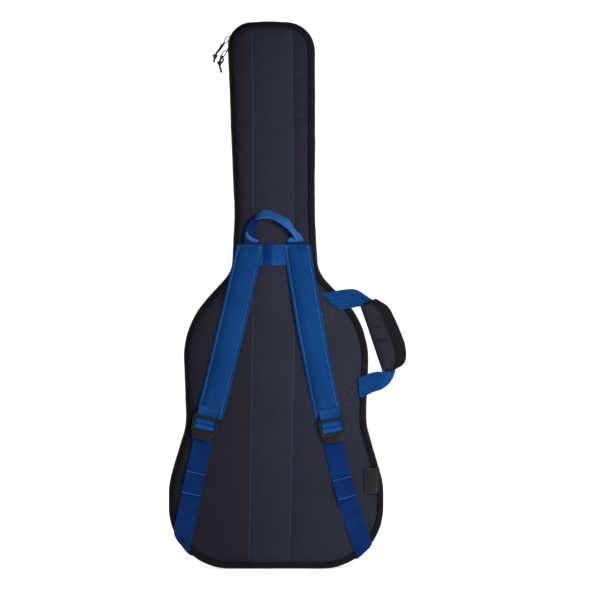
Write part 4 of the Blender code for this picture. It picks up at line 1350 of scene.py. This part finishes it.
def handleWeb(name, line, fold, slant, node):
    # wide webbing leaves the seam flat, then folds over on itself and narrows where the grip gathers it
    flat = smoothLine(line, 110)
    t = np.linspace(0, 1, 110)
    path = np.column_stack([flat[:, 0], -(0.0406 + 0.0022 * smoothstep(0, 0.5, t) + 0.0006 * np.sin(t * 9)),
                            flat[:, 1]])
    travel = unit(np.gradient(path, axis=0))
    across = unit(np.cross(travel, (0, 1, 0)))
    angle = (fold * smoothstep(0.52, 0.86, t))[:, None]
    side3 = across * np.cos(angle) + np.array([0, 1.0, 0]) * np.sin(angle)
    width = handle["web"] * (1 - 0.22 * smoothstep(0.50, 0.95, t))
    side3 = unit(side3 - travel * (side3 * travel).sum(-1, keepdims=True))
    section = roundSection(1, 1, 44)
    over = section[None, :, :1] * width[:, None, None]
    # its seamed end is cut at a slant, which dies away along the webbing
    skew = slant * (1 - smoothstep(0, 0.40, t))[:, None, None] * over
    rings = (path[:, None] + side3[:, None] * over + np.cross(travel, side3)[:, None] * section[None, :, 1:] * 0.0020
             + travel[:, None] * skew)
    web = loft(name, rings, "webbing", along=lengths(path), across=section[:, 0])
    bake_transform(web)
    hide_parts(node)


handleWeb("upperHandleWebbing", handle["upper"], 0.62, -0.80, "handle_webbing_upper")
handleWeb("lowerHandleWebbing", handle["lower"], -0.55, 0.30, "handle_webbing_lower")

# the grip is laid out between its two edges: a padded tube on the bag's side, a flat seamed flap on the other
edges = [smoothLine(handle[edge], 130) for edge in ("inner", "outer")]
split = edges[0] + (edges[1] - edges[0]) * handle["padShare"]
run = lengths((edges[0] + edges[1]) / 2)
total = run[-1]
angle = np.linspace(0, 2 * math.pi, 52, endpoint=False)
c, s = np.cos(angle), np.sin(angle)
shallow, sharp = (np.exp(-((run - total * share) / 0.0030) ** 2) for share in handle["creases"])
creases = shallow * 0.5 + sharp
ends = 0.62 + 0.38 * smoothstep(0, 0.012, run) * smoothstep(0, 0.012, total - run)


def betweenEdges(first, second, wide, deep, puff):
    # a closed section carried between two edges: its width spans them and its depth is given
    middle, half = (first + second) / 2, (second - first) / 2
    flat = middle[:, None] + half[:, None] * wide[None, :, None]
    return np.stack([flat[..., 0], -(handle["out"] + deep[None] * puff[:, None]), flat[..., 1]], -1)


wide, deep = squared(c, 0.72), handle["deep"] * squared(s, 0.85)
puff = ends * (1 - 0.42 * creases)
gripRings = betweenEdges(edges[0], split, wide, deep, puff)
gripRings[..., 1] -= 0.0005 * ripple(angle[None] * 2.2, run[:, None] * 110, 4, 9) * np.sign(deep)[None]
grip = loft("handleGrip", gripRings, "grip", along=run, across=lengths(np.column_stack([wide * 0.018, deep])))
gripHeld = np.broadcast_to(((creases > 0.4) | (run < 0.006) | (run > total - 0.006))[:, None], gripRings.shape[:2])
inflate(grip, gripHeld, 4.0, 0.0010)
settle(grip, "handle", "panel_fabric", "handle_grip")
flapStart = edges[0] + (edges[1] - edges[0]) * 0.50
flapDeep = 0.0046 * squared(s, 0.6)
flapRings = betweenEdges(flapStart, edges[1], squared(c, 0.5), flapDeep, 0.8 + 0.2 * ends)
flapRings[..., 1] -= 0.0004 * ripple(angle[None] * 1.5, run[:, None] * 90, 9, 9)
flap = loft("gripFlap", flapRings, "wall", along=run, across=lengths(np.column_stack([wide * 0.016, flapDeep])))
settle(flap, "handle", "binding")
flapLine = (edges[0] + (edges[1] - edges[0]) * 0.955)[6:-6]
sewn("gripFlapStitches", sideways(flapLine, -(handle["out"] + 0.0036)), "handle", "binding", "flap")
for name, rows in (("gripBindingTop", slice(0, 8)), ("gripBindingEnd", slice(-8, None))):
    swell = 1 + 0.16 * np.sin(np.linspace(0.15, math.pi - 0.15, 8))
    padWide = (split - edges[0])[rows]
    bound = betweenEdges(edges[0][rows] - padWide * 0.02, split[rows] + padWide * 0.06, wide, deep,
                         ends[rows] * swell)
    settle(loft(name, bound, "wall"), "handle", "binding")
for k, (share, reach) in enumerate(zip(handle["creases"], (0.45, 0.62))):
    row = int(np.argmin(abs(run - total * share)))
    line = edges[0][row] + (edges[1][row] - edges[0][row]) * np.linspace(0.10, reach, 14)[:, None]
    depth = handle["out"] + handle["deep"] * puff[row] * (1 - np.abs(np.linspace(-0.68, 0.9, 14)) ** 3 * 0.5)
    sewn(f"gripChannelStitches{k + 1}", sideways(line, -depth), "handle", "panel_fabric", "grip")

# box-and-cross stitching where each handle webbing is sewn beneath the panel
for name, corners in (("lower", ((0.1325, 0.3220), (0.1570, 0.3180), (0.1590, 0.3560), (0.1345, 0.3600))),
                      ("upper", ((0.0820, 0.4870), (0.0985, 0.4760), (0.1120, 0.5000), (0.0950, 0.5120)))):
    line = boxStitch(corners)
    sewn(name + "BoxStitches", sideways(line, backDepth(line) + 0.0001), "back_half", "panel_fabric", "box")
print("handle, loop and tag ready")


# ---- zip sliders and their wire pulls

# the sliders ride on the arc of the head, seated this far inside it
headArc = {"centre": (-0.0472, 1.0128), "radius": 0.047, "seat": 0.0040}
sliders = {"upper": {"place": math.radians(150.0), "pull": ((-0.0918, 1.0380), (-0.1018, 1.0252))},
           "lower": {"place": math.radians(182.3), "pull": ((-0.0985, 1.0100), (-0.1072, 0.9975))}}


def ovalBlock(centre, along, out, halves):
    # a soft-cornered block built of ovals stacked along its outward axis
    t = np.linspace(-1, 1, 9)
    grow = (1 - np.abs(t) ** 6 * 0.28)
    turn = np.linspace(0, 2 * math.pi, 22, endpoint=False)
    oval = (np.asarray(along) * (squared(np.cos(turn), 0.5) * halves[0])[:, None]
            + np.cross(along, out) * (squared(np.sin(turn), 0.5) * halves[1])[:, None])
    rings = np.asarray(centre) + np.asarray(out) * (t * halves[2])[:, None, None] + oval[None] * grow[:, None, None]
    return loft("block", rings, "enamel")


for name, plan in sliders.items():
    spoke = np.array([math.cos(plan["place"]), 0, math.sin(plan["place"])])
    along = np.array([-spoke[2], 0, spoke[0]])
    middle = np.array([headArc["centre"][0], zipPlane, headArc["centre"][1]])
    seat = middle + spoke * (headArc["radius"] - headArc["seat"])
    parts = [ovalBlock(seat + spoke * 0.0024, along, spoke, (0.0058, 0.0052, 0.0011)),
             ovalBlock(seat - spoke * 0.0004, along, spoke, (0.0048, 0.0028, 0.0026)),
             ovalBlock(seat + spoke * 0.0026 + along * 0.0030, along, spoke, (0.0020, 0.0032, 0.0018))]
    bridge = np.linspace(0, math.pi, 20)
    arch = seat + along * (-0.0038 * np.cos(bridge))[:, None] + spoke * (0.0030 + 0.0030 * np.sin(bridge))[:, None]
    parts.append(tube("block", arch, 0.0010, "enamel"))
    slider = fused(name + "ZipSlider", parts, 0.00028, "enamel", 3)
    settle(slider, name + "_slider", "slider_metal", "zip_slider_" + name)
    start, stop = np.asarray(plan["pull"])
    way = stop - start
    turn = np.linspace(0, 2 * math.pi, 72, endpoint=False)
    t = 0.5 - 0.5 * np.cos(turn)
    halfWide = 0.0034 * np.sin(turn) * (1 - 0.35 * np.abs(t - 0.6))
    beside = unit(np.array([-way[1], way[0]]))
    wire = sideways(start + way * t[:, None] + beside * halfWide[:, None], zipPlane)
    ring = tube(name + "PullRing", wire, 0.0010, "enamel", closed=True)
    settle(ring, name + "_pull", "slider_metal", "zip_pull_" + name)
print("sliders ready")


# ---- the lid: its padded panel, the pocket and the pocket's zip

lidPanel = quilted("lidPanel", 1)
settle(lidPanel, "lid", "panel_fabric", "front_panel", "front_foam")
lidDepth = surfaceDepth(lidPanel, 1)
sewnChannels("LidChannelStitches", "lid", 1, lambda line: lidDepth(line) + 0.0002, 0.4180, 330)

pocket = {
    "corners": ((-0.172, 0.034, 0.095), (0.172, 0.034, 0.095), (0.172, 0.160, 0.120), (0.144, 0.281, 0.120),
                (0.150, 0.400, 0.022), (-0.150, 0.400, 0.022), (-0.144, 0.281, 0.120), (-0.172, 0.160, 0.120)),
    "out": 0.0500, "mouth": (-0.120, 0.120, 0.355),
}


def calm(z):
    # 0 along the pocket's zip, where its tapes hold the cloth flat, and 1 away from it
    return 1 - np.exp(-((z - pocket["mouth"][2]) / 0.020) ** 4)


def pocketGrid():
    # the pocket's face: rolled edges, a dip along the zip and soft hollows elsewhere
    x, z, away, sides = panelGrid(pocket["corners"], 0.0040, (46,), 64, ())
    rise = 1 - np.exp(-away / 0.0055)
    mouth = np.exp(-((z - pocket["mouth"][2]) / 0.0065) ** 2) * smoothstep(0.132, 0.116, np.abs(x))
    y = pocket["out"] - 0.0030 * (1 - rise) + 0.0010 * rise - 0.0016 * mouth
    sag = 0.0010 * ripple(x * 22, z * 16, 21, 8) * calm(z)
    face = openGrid("pocketFace", np.stack([x, y + sag * rise, z], -1), "panel")
    facing(face, 1)
    held = np.zeros(x.shape, bool)
    held[[0, -1]] = held[:, [0, -1]] = True
    held |= np.abs(z - pocket["mouth"][2]) < 0.0125
    inflate(face, held, 3.0, 0.0030, 0.006)

    def soften(points):
        points[:, 1] += 0.00035 * calm(points[:, 2]) * ripple(points[:, 0] * 120, points[:, 2] * 70, 14, 9)
        return points

    refined(face, soften)
    return backed(face, 0.0440)


pocketFace = pocketGrid()
settle(pocketFace, "lid", "panel_fabric", "pocket_panel")
pocketWall = around("pocketWall", ((0.0060, 0.0372), (0.0010, 0.0374), (0.0001, 0.0392), (-0.0002, 0.0425),
                                   (-0.0001, 0.0455), (0.0003, 0.0478), (0.0012, 0.0493), (0.0026, 0.0498),
                                   (0.0046, 0.0492), (0.0060, 0.0480), (0.0064, 0.0430)),
                    "wall", pocket["corners"], 520, 0.00025, 7)
settle(pocketWall, "lid", "binding", "pocket_gusset")
pocketLine, pocketIn = rim(pocket["corners"], 700)
binding = tube("pocketPiping", sideways(pocketLine + pocketIn * 0.0036, 0.0492), 0.0018, "wall", closed=True)
settle(binding, "lid", "binding")
sewn("pocketSeamStitches", sideways(pocketLine + pocketIn * 0.0090, 0.0500), "lid", "panel_fabric", "pocket",
     lift=(0, 1, 0))
left, right, height = pocket["mouth"]
run = np.linspace(left - 0.003, right + 0.003, 120)
for name, offset in (("Upper", 0.0068), ("Lower", -0.0068)):
    path = np.column_stack([run, np.full(120, 0.0509) + 0.0003 * np.sin(run * 90), np.full(120, height + offset)])
    tape = sweep("pocketTape" + name, path, (0, 0, 1), roundSection(0.0096, 0.0010, 20), "tape")
    settle(tape, "lid", "zip_tape", "pocket_tape_" + name.lower())
    row = np.column_stack([run, np.full(120, 0.0516) + 0.0003 * np.sin(run * 90),
                           np.full(120, height + offset * 1.42)])
    sewn("pocketTapeStitches" + name, row, "lid", "zip_tape", "pocketTape", lift=(0, 1, 0))
count = int((right - left) / 0.0016)
places = np.linspace(left, right, count)
for name, offset, shift in (("Upper", 0.0010, 0.0), ("Lower", -0.0010, 0.0008)):
    spots = np.column_stack([places + shift, np.full(count, 0.0513), np.full(count, height + offset)])
    axes = np.broadcast_to(np.eye(3), (count, 3, 3))
    teeth = repeat("pocketCoil" + name, pebble((0.00062, 0.0008, 0.0013), 4, 0.8), spots, axes, "coil")
    settle(teeth, "lid", "zip_coil")
for name, x in (("Left", left - 0.0035), ("Right", right + 0.0035)):
    stop = ovalBlock((x, 0.0512, height), np.array([1.0, 0, 0]), np.array([0, 1.0, 0]), (0.0030, 0.0088, 0.0009))
    stop.name = "pocketZipEnd" + name
    stop.data.materials[0] = finishes["wall"].material
    settle(stop, "lid", "zip_tape")
seat = np.array([left + 0.010, 0.0524, height])
ahead, out = np.array([1.0, 0, 0]), np.array([0, 1.0, 0])
bridge = np.linspace(0, math.pi, 20)
arch = seat + np.column_stack([-0.0034 * np.cos(bridge), 0.0016 + 0.0028 * np.sin(bridge), np.zeros(20)])
pocketSlider = fused("pocketZipSlider", [ovalBlock(seat, ahead, out, (0.0055, 0.0044, 0.0014)),
                                         ovalBlock(seat + ahead * 0.003, ahead, out, (0.0024, 0.0048, 0.0012)),
                                         tube("block", arch, 0.0009, "enamel")], 0.00028, "enamel", 3)
settle(pocketSlider, "pocket_slider", "slider_metal", "pocket_slider")
t = np.linspace(0, 2 * math.pi, 60, endpoint=False)
pullLoop = np.column_stack([seat[0] + 0.0030 * np.sin(t), np.full(60, 0.0572), height - 0.0065 + 0.0060 * np.cos(t)])
tabLine = np.column_stack([np.full(30, seat[0]), np.full(30, 0.0572), height - np.linspace(0.0110, 0.0285, 30)])
tabWide = 0.0062 + 0.0016 * np.sin(np.linspace(0, math.pi, 30))
tabThick = 0.0024 - 0.0007 * np.sin(np.linspace(0, math.pi * 6, 30)) ** 2
pocketPull = fused("pocketPullTab", [tube("block", pullLoop, 0.0008, "enamel", closed=True),
                                     sweep("block", tabLine, (1, 0, 0), roundSection(1, 1, 24, 0.5), "enamel",
                                           scale=np.column_stack([tabWide, tabThick]))], 0.00028, "enamel", 2)
settle(pocketPull, "pocket_pull", "slider_metal", "pocket_pull")
print("lid and pocket ready")


# ---- inside: brushed lining on both halves, the neck's rest and the strip under the body

# each lining: inset from the outline, depth of its face and of the flat side behind it, how far its cloth swells
inside = {"inset": 0.0128, "face": 0.0252, "back": 0.0335, "swell": 0.0020, "roll": 0.0008}
for name, sign, body, node in (("backLining", 1, "back_half", "back_lining"),
                               ("lidLining", -1, "lid", "front_lining")):
    x, z, away, sewnColumns = panelGrid(bag["corners"], inside["inset"], (16, 12, 16), 90, channels)
    swell = inside["swell"] * (1 - np.exp(-np.minimum(away, channelDistance(x, z)) / 0.016))
    swell = swell - inside["roll"] * np.exp(-away / 0.004)
    face = -sign * inside["face"] + sign * (swell + 0.0003 * ripple(x * 60, z * 40, 31, 9))
    lining = openGrid(name, np.stack([x, face, z], -1), "lining")
    facing(lining, sign)
    refined(lining)
    backed(lining, -sign * inside["back"])
    settle(lining, body, "lining", node)

rest = {"low": 0.690, "high": 0.730, "floor": -0.0228, "half": 0.0590, "crest": -0.0040, "seat": -0.0172}
u = np.linspace(-1, 1, 61)
notch = rest["crest"] - (rest["crest"] - rest["seat"]) * (1 - smoothstep(0.40, 0.64, np.abs(u)))
shoulder = (notch - rest["floor"]) * (1 - np.abs(u) ** 14) ** 0.5 + rest["floor"]
profile = np.vstack([np.column_stack([u * rest["half"], shoulder]),
                     np.column_stack([u[::-6] * rest["half"] * 0.985, np.full(11, rest["floor"])])])
w = np.linspace(-1, 1, 25)
shrink = (1 - np.abs(w) ** 7 * 0.28)[:, None]
rings = np.stack([profile[None, :, 0] * (1 - 0.04 * np.abs(w[:, None]) ** 7),
                  rest["floor"] + (profile[None, :, 1] - rest["floor"]) * shrink,
                  (rest["low"] + rest["high"]) / 2 + w[:, None] * (rest["high"] - rest["low"]) / 2 + 0 * profile[None,
                                                                                                                 :,
                                                                                                                 0]],
                 -1)
neckRest = loft("neckRest", rings, "lining")
settle(neckRest, "back_half", "foam", "neck_rest")
padLine = np.column_stack([np.linspace(-0.0745, 0.0745, 90), np.full(90, -0.0078), np.full(90, 0.0162)])
fall = np.abs(np.linspace(-1, 1, 90))
endPad = sweep("endPad", padLine, (0, 1, 0), roundSection(1, 1, 36, 0.35), "lining",
               scale=np.column_stack([0.0300 * (1 - fall**12 * 0.25), 0.0074 * (1 - fall**12 * 0.35)]))
settle(endPad, "back_half", "foam", "end_pad")
print("inside ready")


print("whole object dressed")
